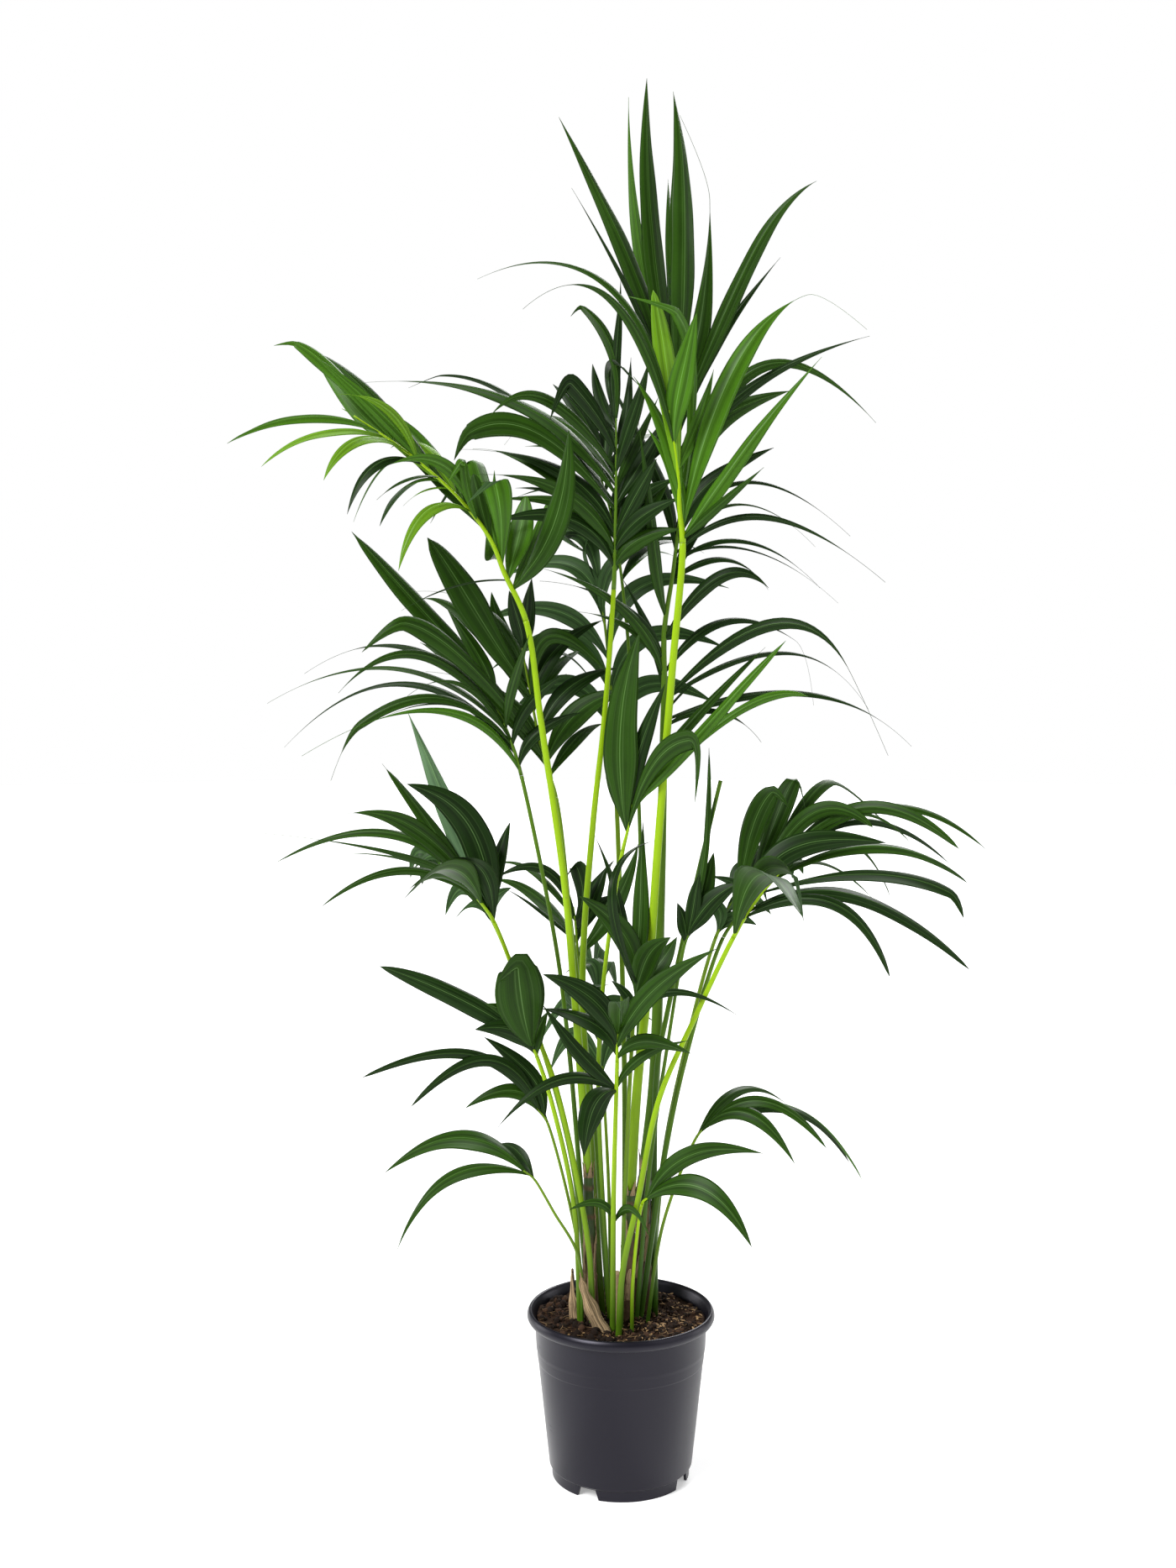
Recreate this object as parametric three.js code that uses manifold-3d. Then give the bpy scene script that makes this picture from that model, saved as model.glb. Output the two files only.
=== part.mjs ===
// A kentia palm in a round nursery pot: a clump of slender stems, each with its arching feathered frond.
// Millimetres, +Z up, the front is -Y. The origin is on the floor, under the middle of the pot.
import * as THREE from "three";
import { mergeVertices } from "three/addons/utils/BufferGeometryUtils.js";
import Module from "manifold-3d";

const wasm = await Module();
wasm.setup();

const GAP = 0.3; // clearance between neighbouring pieces
const SOIL = 196; // height of the potting soil's surface
const START = SOIL + GAP; // where a stem's flat foot stands

const POT = {
  rimRadius: 120,
  rimHeight: 13,
  height: 215,
  mouthRadius: 112,
  bandRadius: 107,
  bandFoot: 166,
  bodyRadius: 102.5,
  footRadius: 89.5,
  skirtRadius: 88,
  skirtHeight: 14,
  wall: 2.2,
  floor: 17,
  segments: 32,
};
const NOTCH = { count: 4, first: 61, width: 26, height: 13, depth: 24 }; // first: bearing from the front
const DRAIN = { count: 4, radius: 6, ring: 52, sides: 8 };

const LEAF = {
  rings: [0, 0.18, 0.46, 0.76], // shares of a leaflet's length that have a ring of points
  shortRings: [0, 0.26, 0.62], // the same for a leaflet under shortLength
  shortLength: 200,
  widest: 0.44, // share of the length where it is widest
  rise: 1.2, // powers that shape its edge below and above that place
  fall: 0.85,
  foot: 1.8, // half of its width at the root
  ridge: 1 / 85, // height of the ridge along its middle, as a share of its length
  leastRidge: 2,
  ridgeTaper: 0.6,
  roll: 20, // degrees that a blade's lower edge is turned forward, so that neighbours lie like shingles
  lean: 0.4, // where along its length the arch is highest, where no row says
  firstSeat: 0.03, // shares of the rib between which the leaflets sit
  seats: 0.96,
  clear: 0.4, // free space that a leaflet keeps round it
};
// How far a leaflet's tip may be moved back or forward so that it misses its neighbours.
const SHIFTS = [0, 9, -9, 18, -18, 28, -28, 40, -40, 54, -54, 70, -70];
const CANE = { sides: 8, steps: 4 };
const STALK = { sides: 6, moreSteps: 3 };
const RIB = { sides: 3, tip: 1.6, samples: 48 };
const HUSK = { shares: [0, 0.25, 0.5, 0.75, 1], thick: 1.6, fold: 1, back: 2, taper: 0.6 };
const FEATHER = {
  longest: 0.4, // seat of the longest pair
  shorten: 0.9,
  turn: 0.4, // how much more the upper leaflets point along the rib
  dropStep: 14, // uneven drop and arch from one pair to the next
  archStep: 8,
};

const COLOURS = {
  leaf: 0x2f5a1c,
  stalk: 0x7d9c1f,
  cane: 0x3a4a20,
  husk: 0x7a6142,
  soil: 0x33221a,
  pot: 0x38383c,
};

// Canes: old ringed trunks cut off at a ring, which the oldest stalks grow on from.
const canes = [
  {
    name: "cane_left",
    line: [[-38, -12, START], [-40, -13, 300], [-42, -14, 395]],
    radii: [10.5, 6.5],
  },
  {
    name: "cane_centre",
    line: [[6, -8, START], [9, -10, 290], [12, -12, 372]],
    radii: [9, 7.5],
  },
  {
    name: "cane_right",
    line: [[27, 21, START], [29, 22, 300], [32, 23, 395]],
    radii: [12, 9],
  },
  {
    name: "cut_stub",
    line: [[-5, -27, START], [-5, -27, 235], [-6, -27, 271]],
    radii: [4.4, 3.8],
  },
  {
    name: "cut_petiole",
    line: [[44, 12, START], [46, 14, 521], [58, 16, 588], [98, 18, 772], [126, 20, 890]],
    radii: [4, 2.6],
  },
];

// Dry sheaths peeled from the left cane: line of the middle, width and the side that they face.
const husks = [
  {
    name: "husk_front",
    line: [[-22, -48, START], [-36, -47, 226], [-47, -45, 254], [-52, -43, 276]],
    width: 13,
    face: [0, -1, 0.2],
  },
  {
    name: "husk_side",
    line: [[-60, -8, START], [-61, -10, 232], [-60, -12, 268]],
    width: 12,
    face: [-1, -0.5, 0],
  },
];

// Each frond: foot and stalk are points of its stem, rib goes on from the stem's end, and radii are those of the
// stem's foot and of its end. face is the way that the leaf blades look. A leaflet has its seat along the rib,
// from 0 to 1, how far its tip stands out to +X, up and back from that seat, the height of its arch, its width,
// and where the arch is highest if not near the seat.
const fronds = [
  {
    name: "tall_back",
    foot: [32, 23, 395.3],
    stalk: [[43, 26, 505], [50, 30, 735], [53, 34, 883], [54, 36, 935]],
    rib: [[55, 38, 1000], [55, 40, 1080], [67, 42, 1162], [76, 44, 1263], [68, 46, 1376]],
    radii: [8, 5],
    face: [0, -1, 0.25],
    leaflets: [
      [0.02, 118, -17, -60, 30, 10, 0.6], [0.6, 228, 2, 60, 66, 9, 0.34],
      [0.54, 253, -39, -90, 58, 11, 0.36], [0.52, 226, -49, 130, 38, 7, 0.36],
      [0.46, 126, -10, 30, 32, 12, 0.58], [0.28, 128, 64, -40, 40, 20, 0.8],
      [0.18, 173, 44, 60, 46, 15, 0.52], [0.1, 218, 42, -110, 68, 17, 0.8],
      [0.1, 282, -15, 140, 70, 11, 0.6], [0.04, 310, -32, -30, 52, 13, 0.58],
      [1, -36, 391, -10, -14, 30, 0.5], [0.98, -4, 397, 25, 52, 39, 0.5],
      [0.96, 42, 266, 8, -14, 22, 0.42], [0.94, -147, 378, 10, 10, 29, 0.44],
      [0.94, -131, 274, -50, 10, 11, 0.46], [0.92, 167, 292, -45, 22, 26, 0.78],
      [0.57, 123, 124, 10, 22, 26], [0.65, 135, 154, -25, 45, 34], [0.68, 244, 103, -20, 120, 20, 0.7],
      [0.76, 221, 161, -100, 40, 18], [0.17, -151, 133, -65, 30, 18], [0.22, -156, 97, -65, 30, 16],
      [0.12, -55, 150, 10, 10, 16], [0.35, -36, 237, -55, -6, 20], [0.55, -90, 237, 80, 15, 22],
    ],
  },
  {
    name: "centre_back",
    foot: [-24, 6, START],
    stalk: [[-38, 8, 420], [-49, 8, 637], [-36, 5, 834], [-22, 3, 965], [-10, 4, 1130]],
    rib: [[-8, 6, 1200], [-7, 9, 1270], [-7, 12, 1345]],
    radii: [5, 3],
    face: [0, -1, 0.2],
    leaflets: [
      [0.98, 4, 66, -30, 82, 17, 0.46], [0.94, -29, 84, 30, -8, 17, 0.46],
      [0.78, -56, 81, -40, 6, 25, 0.44], [0.68, -153, 57, -70, 48, 19, 0.8],
      [1, -42, 140, 25, 22, 14, 0.54], [1, 4, 173, 0, 0, 15, 0.48], [0.54, -329, 153, 90, 52, 25, 0.44],
      [0.44, -179, 93, -30, 38, 31, 0.76], [0.34, -181, 104, 50, 20, 24, 0.66],
      [0.68, 39, 132, -20, -2, 21, 0.46], [0.48, 73, 122, 45, 0, 24, 0.48],
      [0.28, 50, 95, -15, 0, 23, 0.48], [0.2, 71, 94, 60, 0, 25, 0.42], [0.3, -200, 109, 30, 36, 26],
      [0.2, -172, 83, -90, 36, 24], [0.1, -147, 53, -50, 36, 24], [0.3, 76, 71, 15, 14, 26],
      [0.2, 78, 61, -45, 12, 24], [0.1, 80, 46, -25, 14, 22],
    ],
  },
  {
    name: "right_front",
    foot: [12, -12, 372.3],
    stalk: [[20, -15, 505], [33, -24, 637], [45, -34, 818], [61, -42, 1027], [73, -50, 1184]],
    rib: [[69, -54, 1224], [67, -58, 1264], [56, -62, 1342]],
    radii: [6.5, 4],
    face: [0.1, -1, 0.25],
    leaflets: [
      [0, 92, 80, -60, 0, 15, 0.44], [0, 165, 215, -20, 4, 24], [0.08, 155, 292, 45, 32, 36, 0.8],
      [0.2, -9, 235, -25, 72, 23, 0.8], [0.44, -33, 234, 20, 6, 23, 0.44],
      [0.76, -178, 136, -110, 84, 16, 0.78], [0.9, -237, 187, 60, 86, 13, 0.64],
      [0.1, -41, 117, 0, 12, 20], [0.3, -55, 152, 45, 12, 24], [0.75, 25, 150, 30, 6, 24],
    ],
  },
  {
    name: "left_arch",
    foot: [-42, -14, 395.3],
    stalk: [[-54, -20, 560], [-60, -24, 637], [-71, -30, 762], [-100, -40, 967], [-118, -48, 1090]],
    rib: [
      [-144, -52, 1148], [-161, -58, 1189], [-200, -70, 1239], [-259, -84, 1290], [-319, -100, 1330],
    ],
    radii: [5.5, 3.5],
    face: [-0.35, -0.6, 0.8],
    leaflets: [
      [0.1, 69, 188, -35, -26, 36, 0.44], [0.14, 20, 106, 40, -6, 31, 0.42],
      [0.2, -3, 96, -70, 26, 34, 0.48], [0.28, -26, 106, 60, 6, 27, 0.46],
      [0.4, -15, 65, -20, -6, 22, 0.46], [0.42, -91, 54, -110, 58, 17, 0.5],
      [0.58, -158, 163, 40, 8, 16, 0.74], [0.72, -87, 69, -60, 26, 17, 0.5],
      [0.8, -118, 129, 90, -8, 17, 0.38], [0.82, -120, 119, 10, 8, 18, 0.74],
      [0.9, -168, -21, -60, 22, 18, 0.5], [0.86, -157, -30, 40, 24, 14, 0.5],
      [0.76, -85, -43, -110, 32, 17, 0.62], [0.7, -83, -64, -50, 28, 16, 0.38],
      [0.6, -84, -47, 80, 22, 15, 0.5], [0.44, -79, -75, -80, 34, 16],
    ],
  },
  {
    name: "mid_left_back",
    foot: [-14, 34, START],
    stalk: [[-38, 44, 480], [-64, 50, 700], [-83, 52, 866]],
    rib: [[-100, 54, 920], [-118, 57, 1010], [-127, 60, 1060]],
    radii: [4, 2.5],
    face: [0, -1, 0.3],
    leaflets: [
      [0.38, -240, 267, 20, -4, 33, 0.46], [0.66, -131, 201, -30, 2, 45, 0.52],
      [0.28, -166, 164, -90, 16, 28, 0.8], [0.2, -169, 158, 90, 16, 28, 0.68],
      [0.58, -151, 145, 100, 26, 25, 0.78], [0.38, 101, 91, 40, 22, 27, 0.52],
      [0.2, 102, 93, -20, 22, 32, 0.56], [0.12, 69, 64, 90, 12, 20, 0.56],
      [0.76, -50, 119, 60, -12, 29, 0.48], [0.75, -159, 124, 155, 45, 14], [0.3, -155, 100, 115, 32, 22],
      [0.66, 96, 34, -25, 66, 22], [1, -15, 72, -25, 3, 24], [0.95, 10, 101, 45, 5, 24],
      [0.6, 90, 111, 35, 24, 26],
    ],
  },
  {
    name: "mid_left",
    foot: [-36, 12, START],
    stalk: [[-54, 22, 400], [-66, 26, 538], [-82, 30, 670], [-127, 34, 895]],
    rib: [[-139, 36, 936], [-152, 38, 968], [-162, 40, 988]],
    radii: [3.5, 2.5],
    face: [0, -1, 0.4],
    leaflets: [
      [0.04, -263, 23, -90, 68, 14, 0.32], [0.28, -308, 4, 80, 86, 14, 0.44],
      [0.4, -192, 25, -20, 46, 14, 0.5], [0.56, -334, 35, 150, 66, 11, 0.44],
      [0.7, -195, 41, -110, 64, 17, 0.64], [0.76, -258, 58, 40, 62, 15, 0.54],
      [0.78, -212, 126, -30, 42, 19, 0.24], [1, -62, 121, 30, 10, 22], [0.7, 34, 116, -30, 10, 20],
      [0.4, 70, 90, 10, 16, 18], [0.1, 80, 69, 50, 16, 18],
    ],
  },
  {
    name: "centre_high",
    foot: [-14, -14, START],
    stalk: [[-29, -18, 505], [-24, -22, 624], [-10, -24, 740], [1, -28, 805]],
    rib: [[8, -31, 835], [14, -34, 870]],
    radii: [3, 2.5],
    face: [0, -1, 0.1],
    leaflets: [
      [0.36, 15, 248, 5, 16, 46, 0.46], [0.44, 73, 112, -60, 20, 27, 0.7],
      [0.78, 220, 140, 20, 34, 13, 0.8], [0.88, 183, 202, -40, 0, 13, 0.48], [0.9, 169, 195, 60, 10, 18],
      [0.44, -10, 193, 5, -18, 27], [0.9, 39, 150, -10, 8, 24],
    ],
  },
  {
    name: "centre_mid",
    foot: [-1, -40, START],
    stalk: [[5, -40, 400], [15, -42, 604]],
    rib: [[17, -43, 622], [19, -44, 646]],
    radii: [3, 2.5],
    face: [0, -1, 0.2],
    leaflets: [
      [0.66, -70, 125, -45, 24, 30, 0.42], [0.94, 50, 56, 60, -6, 28, 0.44], [1, 10, 195, 15, 4, 24],
      [0.5, 40, 85, -30, 16, 32], [0.7, -52, 188, 40, 8, 20], [0, -28, 38, 10, 5, 14],
    ],
  },
  {
    name: "centre_front",
    foot: [-11, -42, START],
    stalk: [[-10, -46, 380], [-6, -52, 545]],
    rib: [[-6, -54, 562], [-5, -56, 582]],
    radii: [3.8, 2.5],
    face: [0, -1, 0.3],
    leaflets: [
      [0.6, -91, 94, -30, 18, 32], [1, -1, 66, -262, 34, 30], [0.5, 114, 142, -115, 18, 28],
      [0.8, 153, 28, -20, 48, 13], [0.1, 87, 24, -80, 18, 20], [0.2, -94, 52, 40, 18, 22],
      [0.3, -152, -73, -55, 60, 20], [0.35, -42, -126, -15, 66, 42, 0.5],
    ],
  },
  {
    name: "right_small",
    foot: [19, -13, START],
    stalk: [[36, -12, 400], [59, -8, 560], [80, -13, 688]],
    rib: [[84, -15, 698], [88, -17, 717]],
    radii: [3, 2],
    face: [0, -1, 0.2],
    leaflets: [
      [0.22, 15, 82, -10, 0, 21, 0.46], [0.92, 38, 175, 40, 4, 10, 0.46], [0.5, 31, 98, 15, -5, 26],
      [0.3, 67, 71, -20, 10, 28], [0, -10, 48, 10, 4, 18], [1, 22, 216, 15, -8, 10],
    ],
  },
  {
    name: "lower_left",
    foot: [-27, -33, START],
    stalk: [[-42, -32, 310], [-82, -24, 505], [-105, -22, 570], [-158, -48, 719]],
    rib: [[-168, -56, 737], [-186, -64, 760], [-200, -70, 774]],
    radii: [4, 2.5],
    face: [-0.2, -0.9, 0.6],
    leaflets: [
      [0, -111, 256, 60, 0, 32, 0.5], [0, -104, 171, -15, 36, 41, 0.56], [0.1, -135, 187, 20, 2, 25],
      [0.24, -165, 126, -90, 34, 26, 0.64], [0.42, -268, 39, 60, 68, 16],
      [0.48, -250, 95, -120, 24, 11, 0.2], [0.52, -191, -10, -40, 42, 15, 0.44],
      [0.52, -75, 26, -150, 28, 19, 0.48], [0.4, -72, 33, -196, 44, 32], [0.1, 21, 112, 40, 10, 24],
      [0, -40, 90, -110, 30, 26],
    ],
  },
  {
    name: "left_oval",
    foot: [-52, -25, START],
    stalk: [[-60, -26, 357], [-89, -30, 494], [-106, -34, 548]],
    rib: [[-109, -36, 556], [-117, -38, 568]],
    radii: [3.5, 2.5],
    face: [-0.2, -1, 0.2],
    leaflets: [
      [0.8, -197, 95, 25, 12, 24], [0.6, -16, 106, -40, -8, 62], [0.1, -75, 36, -20, 16, 28],
      [0, 14, 56, 20, 5, 18], [0.4, -58, 67, 25, 14, 24],
    ],
  },
  {
    name: "low_arch_left",
    foot: [-48, 6, START],
    stalk: [[-56, 6, 299], [-94, 0, 456]],
    rib: [[-100, -2, 466], [-108, -4, 476]],
    radii: [2.5, 1.8],
    face: [-0.1, -0.8, 0.6],
    leaflets: [
      [0.8, -224, 55, -70, 54, 16], [0.5, -166, 18, -55, 68, 18], [0.3, -77, 100, 15, 18, 22],
      [0, -103, 20, -30, 32, 20],
    ],
  },
  {
    name: "low_left",
    foot: [-49, -34, START],
    stalk: [[-54, -38, 294], [-85, -46, 354], [-108, -52, 396]],
    rib: [[-114, -55, 403], [-122, -59, 410]],
    radii: [2.2, 1.6],
    face: [-0.3, -0.6, 0.7],
    leaflets: [[0.8, -183, -18, 60, 42, 30], [0.5, -165, -97, 0, 46, 26], [0.2, -70, 31, -95, 28, 24]],
  },
  {
    name: "lower_right",
    foot: [-4, -54, START],
    stalk: [[1, -56, 280], [20, -57, 372], [46, -58, 500], [91, -60, 605], [136, -64, 702]],
    rib: [[154, -66, 734], [176, -68, 764], [200, -71, 792]],
    radii: [4, 3],
    face: [0.1, -0.9, 0.5],
    leaflets: [
      [0.18, 49, 74, -90, 28, 33, 0.64], [0.24, 171, -72, -60, 60, 18, 0.46],
      [0.32, 288, -86, 30, 52, 25, 0.32], [0.6, 205, 11, -110, 24, 19, 0.64],
      [0.42, 160, 78, -10, 40, 33, 0.32], [0.78, 257, -16, 60, 44, 16, 0.54],
      [0.66, 176, -35, 120, 72, 17, 0.52], [0, 55, 56, -236, 66, 44],
    ],
  },
  {
    name: "lower_right_back",
    foot: [24, 0, START],
    stalk: [[55, 2, 408], [81, 8, 531], [130, 16, 690]],
    rib: [[154, 20, 722], [180, 26, 752], [206, 32, 778]],
    radii: [4, 2.5],
    face: [0.1, -0.8, 0.6],
    leaflets: [
      [0.26, 40, 160, -10, 10, 32, 0.8], [0.34, 70, 162, 50, 4, 30, 0.8],
      [0.5, 110, 143, 100, 14, 19, 0.78], [0.58, 142, 86, -60, 58, 23, 0.8],
      [0.74, 231, 46, -110, 80, 20, 0.56], [0.84, 286, 24, 10, 78, 14, 0.5],
      [0.88, 258, -8, 110, 68, 16, 0.44], [0.4, 190, -13, 130, 56, 16], [0.2, 92, 98, 110, 30, 24],
    ],
  },
  {
    name: "low_right",
    foot: [33, -16, START],
    stalk: [[54, -12, 330], [97, -6, 440]],
    rib: [[105, -5, 448], [117, -3, 455]],
    radii: [2.5, 1.8],
    face: [0.2, -0.7, 0.7],
    leaflets: [
      [0.5, 153, -20, -45, 49, 17], [0.8, 188, -66, 35, 48, 18], [1, 204, -98, 45, 55, 20],
      [0.1, 126, 7, 110, 40, 18], [0.3, 113, -27, -45, 40, 20],
    ],
  },
  {
    name: "front_right_low",
    foot: [13, -46, START],
    stalk: [[14, -50, 266], [25, -60, 368]],
    rib: [[29, -64, 375], [37, -68, 380]],
    radii: [2.5, 2],
    face: [0.2, -0.7, 0.6],
    leaflets: [[0.7, 139, 65, -30, 30, 24], [0.2, 127, -31, -80, 46, 28], [0.4, 50, 30, -110, 30, 24]],
  },
  {
    name: "small_back_left",
    foot: [-28, 52, START],
    stalk: [[-41, 60, 430], [-55, 66, 656]],
    rib: [[-58, 68, 696], [-61, 70, 722]],
    radii: [3, 2],
    face: [0, -1, 0.2],
    leaflets: [
      [0.74, -115, 64, 60, 26, 11, 0.66], [0.82, -106, 49, -10, 38, 15, 0.58],
      [0.32, -116, 66, 110, 18, 19, 0.64], [0.74, 3, 71, 0, -10, 26], [0.48, 42, 86, 20, -2, 20, 0.46],
      [0.3, 60, 57, 45, 16, 20], [0.4, 50, 91, 50, 12, 20],
    ],
  },
  {
    name: "thin_back",
    foot: [10, 40, START],
    stalk: [[23, 48, 550], [25, 54, 815], [10, 62, 1060], [2, 68, 1140]],
    rib: [[-4, 74, 1184], [-14, 82, 1236], [-28, 92, 1288]],
    radii: [3, 2],
    face: [0, -0.6, 0.7],
    leaflets: [
      [0.2, 98, 97, 30, 24, 22], [0.5, 87, 113, 45, 22, 24], [0.9, 20, 130, 80, 10, 24],
      [1, -60, 118, 45, 14, 24], [0.7, -112, 87, 115, 26, 24], [0.4, -131, 63, 135, 32, 24],
      [0.1, -112, 44, 120, 32, 22], [0, 113, 43, 130, 32, 20], [0.8, 80, 90, 120, 26, 22],
    ],
  },
  {
    name: "back_tall",
    foot: [6, 64, START],
    stalk: [[6, 86, 500], [-2, 122, 800], [-8, 150, 940]],
    rib: [[-12, 164, 1010], [-18, 182, 1080], [-28, 196, 1144], [-40, 208, 1188]],
    radii: [4, 2.8],
    face: [0, 0.5, 0.8],
    feather: { pairs: 6, length: 240, spread: 0.9, ahead: 0.4, drop: 30, arch: 46, width: 26 },
  },
  {
    name: "back_right",
    foot: [38, 44, START],
    stalk: [[58, 60, 400], [90, 100, 540], [130, 140, 672]],
    rib: [[168, 174, 742], [210, 212, 786], [256, 246, 802]],
    radii: [3.8, 2.5],
    face: [0.4, 0.6, 0.8],
    feather: { pairs: 6, length: 210, spread: 0.7, ahead: 0.45, drop: 30, arch: 44, width: 25 },
  },
  {
    name: "back_left",
    foot: [-40, 40, START],
    stalk: [[-62, 70, 380], [-104, 110, 530], [-168, 150, 686]],
    rib: [[-212, 180, 756], [-262, 214, 802], [-312, 246, 822]],
    radii: [3.8, 2.5],
    face: [-0.4, 0.6, 0.8],
    feather: { pairs: 6, length: 210, spread: 0.7, ahead: 0.45, drop: 30, arch: 44, width: 25 },
  },
  {
    name: "back_low",
    foot: [-12, 66, START],
    stalk: [[-14, 104, 330], [-22, 160, 480]],
    rib: [[-26, 188, 535], [-30, 218, 572], [-34, 246, 592]],
    radii: [3, 2],
    face: [0, 0.6, 0.8],
    feather: { pairs: 5, length: 160, spread: 0.7, ahead: 0.45, drop: 40, arch: 42, width: 24 },
  },
];

const UP = new THREE.Vector3(0, 0, 1);
const vector = ([x, y, z]) => new THREE.Vector3(x, y, z);

// A closed skin over rings of points, which all run the same way round, ending in a flat cap or in one point.
function skin(rings, apex) {
  const count = rings[0].length;
  const points = rings.flat();
  const triangles = [];
  for (let i = 1; i + 1 < count; i++) triangles.push(0, i + 1, i);
  for (let r = 0; r + 1 < rings.length; r++) {
    for (let i = 0; i < count; i++) {
      const a = r * count + i;
      const b = r * count + ((i + 1) % count);
      triangles.push(a, b, b + count, a, b + count, a + count);
    }
  }
  const last = (rings.length - 1) * count;
  if (apex) points.push(apex);
  for (let i = 0; i < count; i++) {
    if (apex) triangles.push(last + i, last + ((i + 1) % count), points.length - 1);
    else if (i > 0 && i + 1 < count) triangles.push(last, last + i, last + i + 1);
  }
  const geometry = new THREE.BufferGeometry().setFromPoints(points);
  geometry.setIndex(triangles);
  return geometry;
}

function solidOf(geometry) {
  const bare = geometry.clone();
  bare.deleteAttribute("normal");
  bare.deleteAttribute("uv");
  const merged = mergeVertices(bare, 1e-3);
  return new wasm.Manifold(
    new wasm.Mesh({
      numProp: 3,
      vertProperties: new Float32Array(merged.attributes.position.array),
      triVerts: new Uint32Array(merged.index.array),
    }),
  );
}

function geometryOf(solid) {
  const mesh = solid.getMesh();
  const geometry = new THREE.BufferGeometry();
  geometry.setAttribute("position", new THREE.BufferAttribute(new Float32Array(mesh.vertProperties), 3));
  geometry.setIndex(new THREE.BufferAttribute(new Uint32Array(mesh.triVerts), 1));
  return geometry;
}

// A tapering limb with flat ends along a stretch of a curve. Its foot is level when it stands on something.
function limb(curve, from, to, radii, sides, steps, { levelFoot, levelTop, lift = 0 } = {}) {
  const side = new THREE.Vector3(1, 0, 0);
  const rings = [];
  for (let i = 0; i <= steps; i++) {
    const t = from + ((to - from) * i) / steps;
    const level = (levelFoot && i === 0) || (levelTop && i === steps);
    const heading = level ? UP : curve.getTangent(t);
    const centre = curve.getPoint(t);
    if (i === 0) centre.addScaledVector(heading, lift);
    const across = side.addScaledVector(heading, -side.dot(heading)).normalize().clone();
    const beside = new THREE.Vector3().crossVectors(heading, across);
    const radius = radii[0] + ((radii[1] - radii[0]) * i) / steps;
    rings.push(
      Array.from({ length: sides }, (_, k) => {
        const angle = (2 * Math.PI * k) / sides;
        return centre
          .clone()
          .addScaledVector(across, radius * Math.cos(angle))
          .addScaledVector(beside, radius * Math.sin(angle));
      }),
    );
  }
  return skin(rings);
}

function curveThrough(points) {
  return new THREE.CatmullRomCurve3(points.map(vector), false, "centripetal");
}

// The point and direction at a share of a polyline's length.
function along(line, share) {
  const lengths = [0];
  for (let i = 1; i < line.length; i++) lengths.push(lengths[i - 1] + line[i].distanceTo(line[i - 1]));
  const wanted = share * lengths[lengths.length - 1];
  let i = 0;
  while (i < line.length - 2 && lengths[i + 1] < wanted) i++;
  const part = (wanted - lengths[i]) / (lengths[i + 1] - lengths[i]);
  return {
    point: line[i].clone().lerp(line[i + 1], part),
    direction: line[i + 1].clone().sub(line[i]).normalize(),
  };
}

// Half of a leaflet's width, from a narrow foot through its widest place to a long thin tip.
function halfWidth(share, width) {
  if (share < LEAF.widest) {
    const rise = Math.sin((share / LEAF.widest) * (Math.PI / 2)) ** LEAF.rise;
    return LEAF.foot + (width / 2 - LEAF.foot) * rise;
  }
  const part = (share - LEAF.widest) / (1 - LEAF.widest);
  return (width / 2) * Math.cos((part * Math.PI) / 2) ** LEAF.fall;
}

// A leaflet's middle line: a parabola in the upright plane through its root and tip, bulging away from the chord.
function leafletLine(root, reach, arch, lean) {
  const flat = Math.hypot(reach.x, reach.y);
  const heading = new THREE.Vector3(reach.x, reach.y, 0).normalize();
  const length = reach.length();
  const bulge = UP.clone().multiplyScalar(flat / length).addScaledVector(heading, -reach.z / length);
  const knee = root.clone().addScaledVector(reach, lean).addScaledVector(bulge, 2 * arch);
  const curve = new THREE.QuadraticBezierCurve3(root, knee, root.clone().add(reach));
  return { curve, heading, length };
}

// A leaflet: a thin wedge with a ridge along its middle, wide across the way that its frond faces.
function leaflet(root, reach, { arch, lean, width, face, spare = 0, bladeOnly = false }) {
  const { curve, heading, length } = leafletLine(root, reach, arch, lean);
  const axis = new THREE.Vector3().crossVectors(heading, UP);
  const slope = (direction) => Math.atan2(direction.z, direction.dot(heading));
  const start = curve.getTangent(0);
  const front = face.clone().addScaledVector(start, -face.dot(start)).normalize();
  const across = new THREE.Vector3().crossVectors(start, front);
  across.applyAxisAngle(start, -Math.sign(reach.x) * THREE.MathUtils.degToRad(LEAF.roll));
  const ridge = Math.max(LEAF.leastRidge, length * LEAF.ridge) + spare;
  const shares = length < LEAF.shortLength ? LEAF.shortRings : LEAF.rings;
  const rings = shares.slice(bladeOnly ? 1 : 0).map((share) => {
    const direction = curve.getTangent(share);
    const side = across.clone().applyAxisAngle(axis, slope(direction) - slope(start));
    const above = new THREE.Vector3().crossVectors(side, direction);
    const half = halfWidth(share, width) + spare;
    const centre = curve.getPoint(share).addScaledVector(above, -spare);
    const height = Math.min(half, ridge * (1 - LEAF.ridgeTaper * share));
    return [
      centre.clone().addScaledVector(side, half),
      centre.clone().addScaledVector(side, -half),
      centre.clone().addScaledVector(above, height + spare),
    ];
  });
  return solidOf(skin(rings, curve.getPoint(1)));
}

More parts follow.
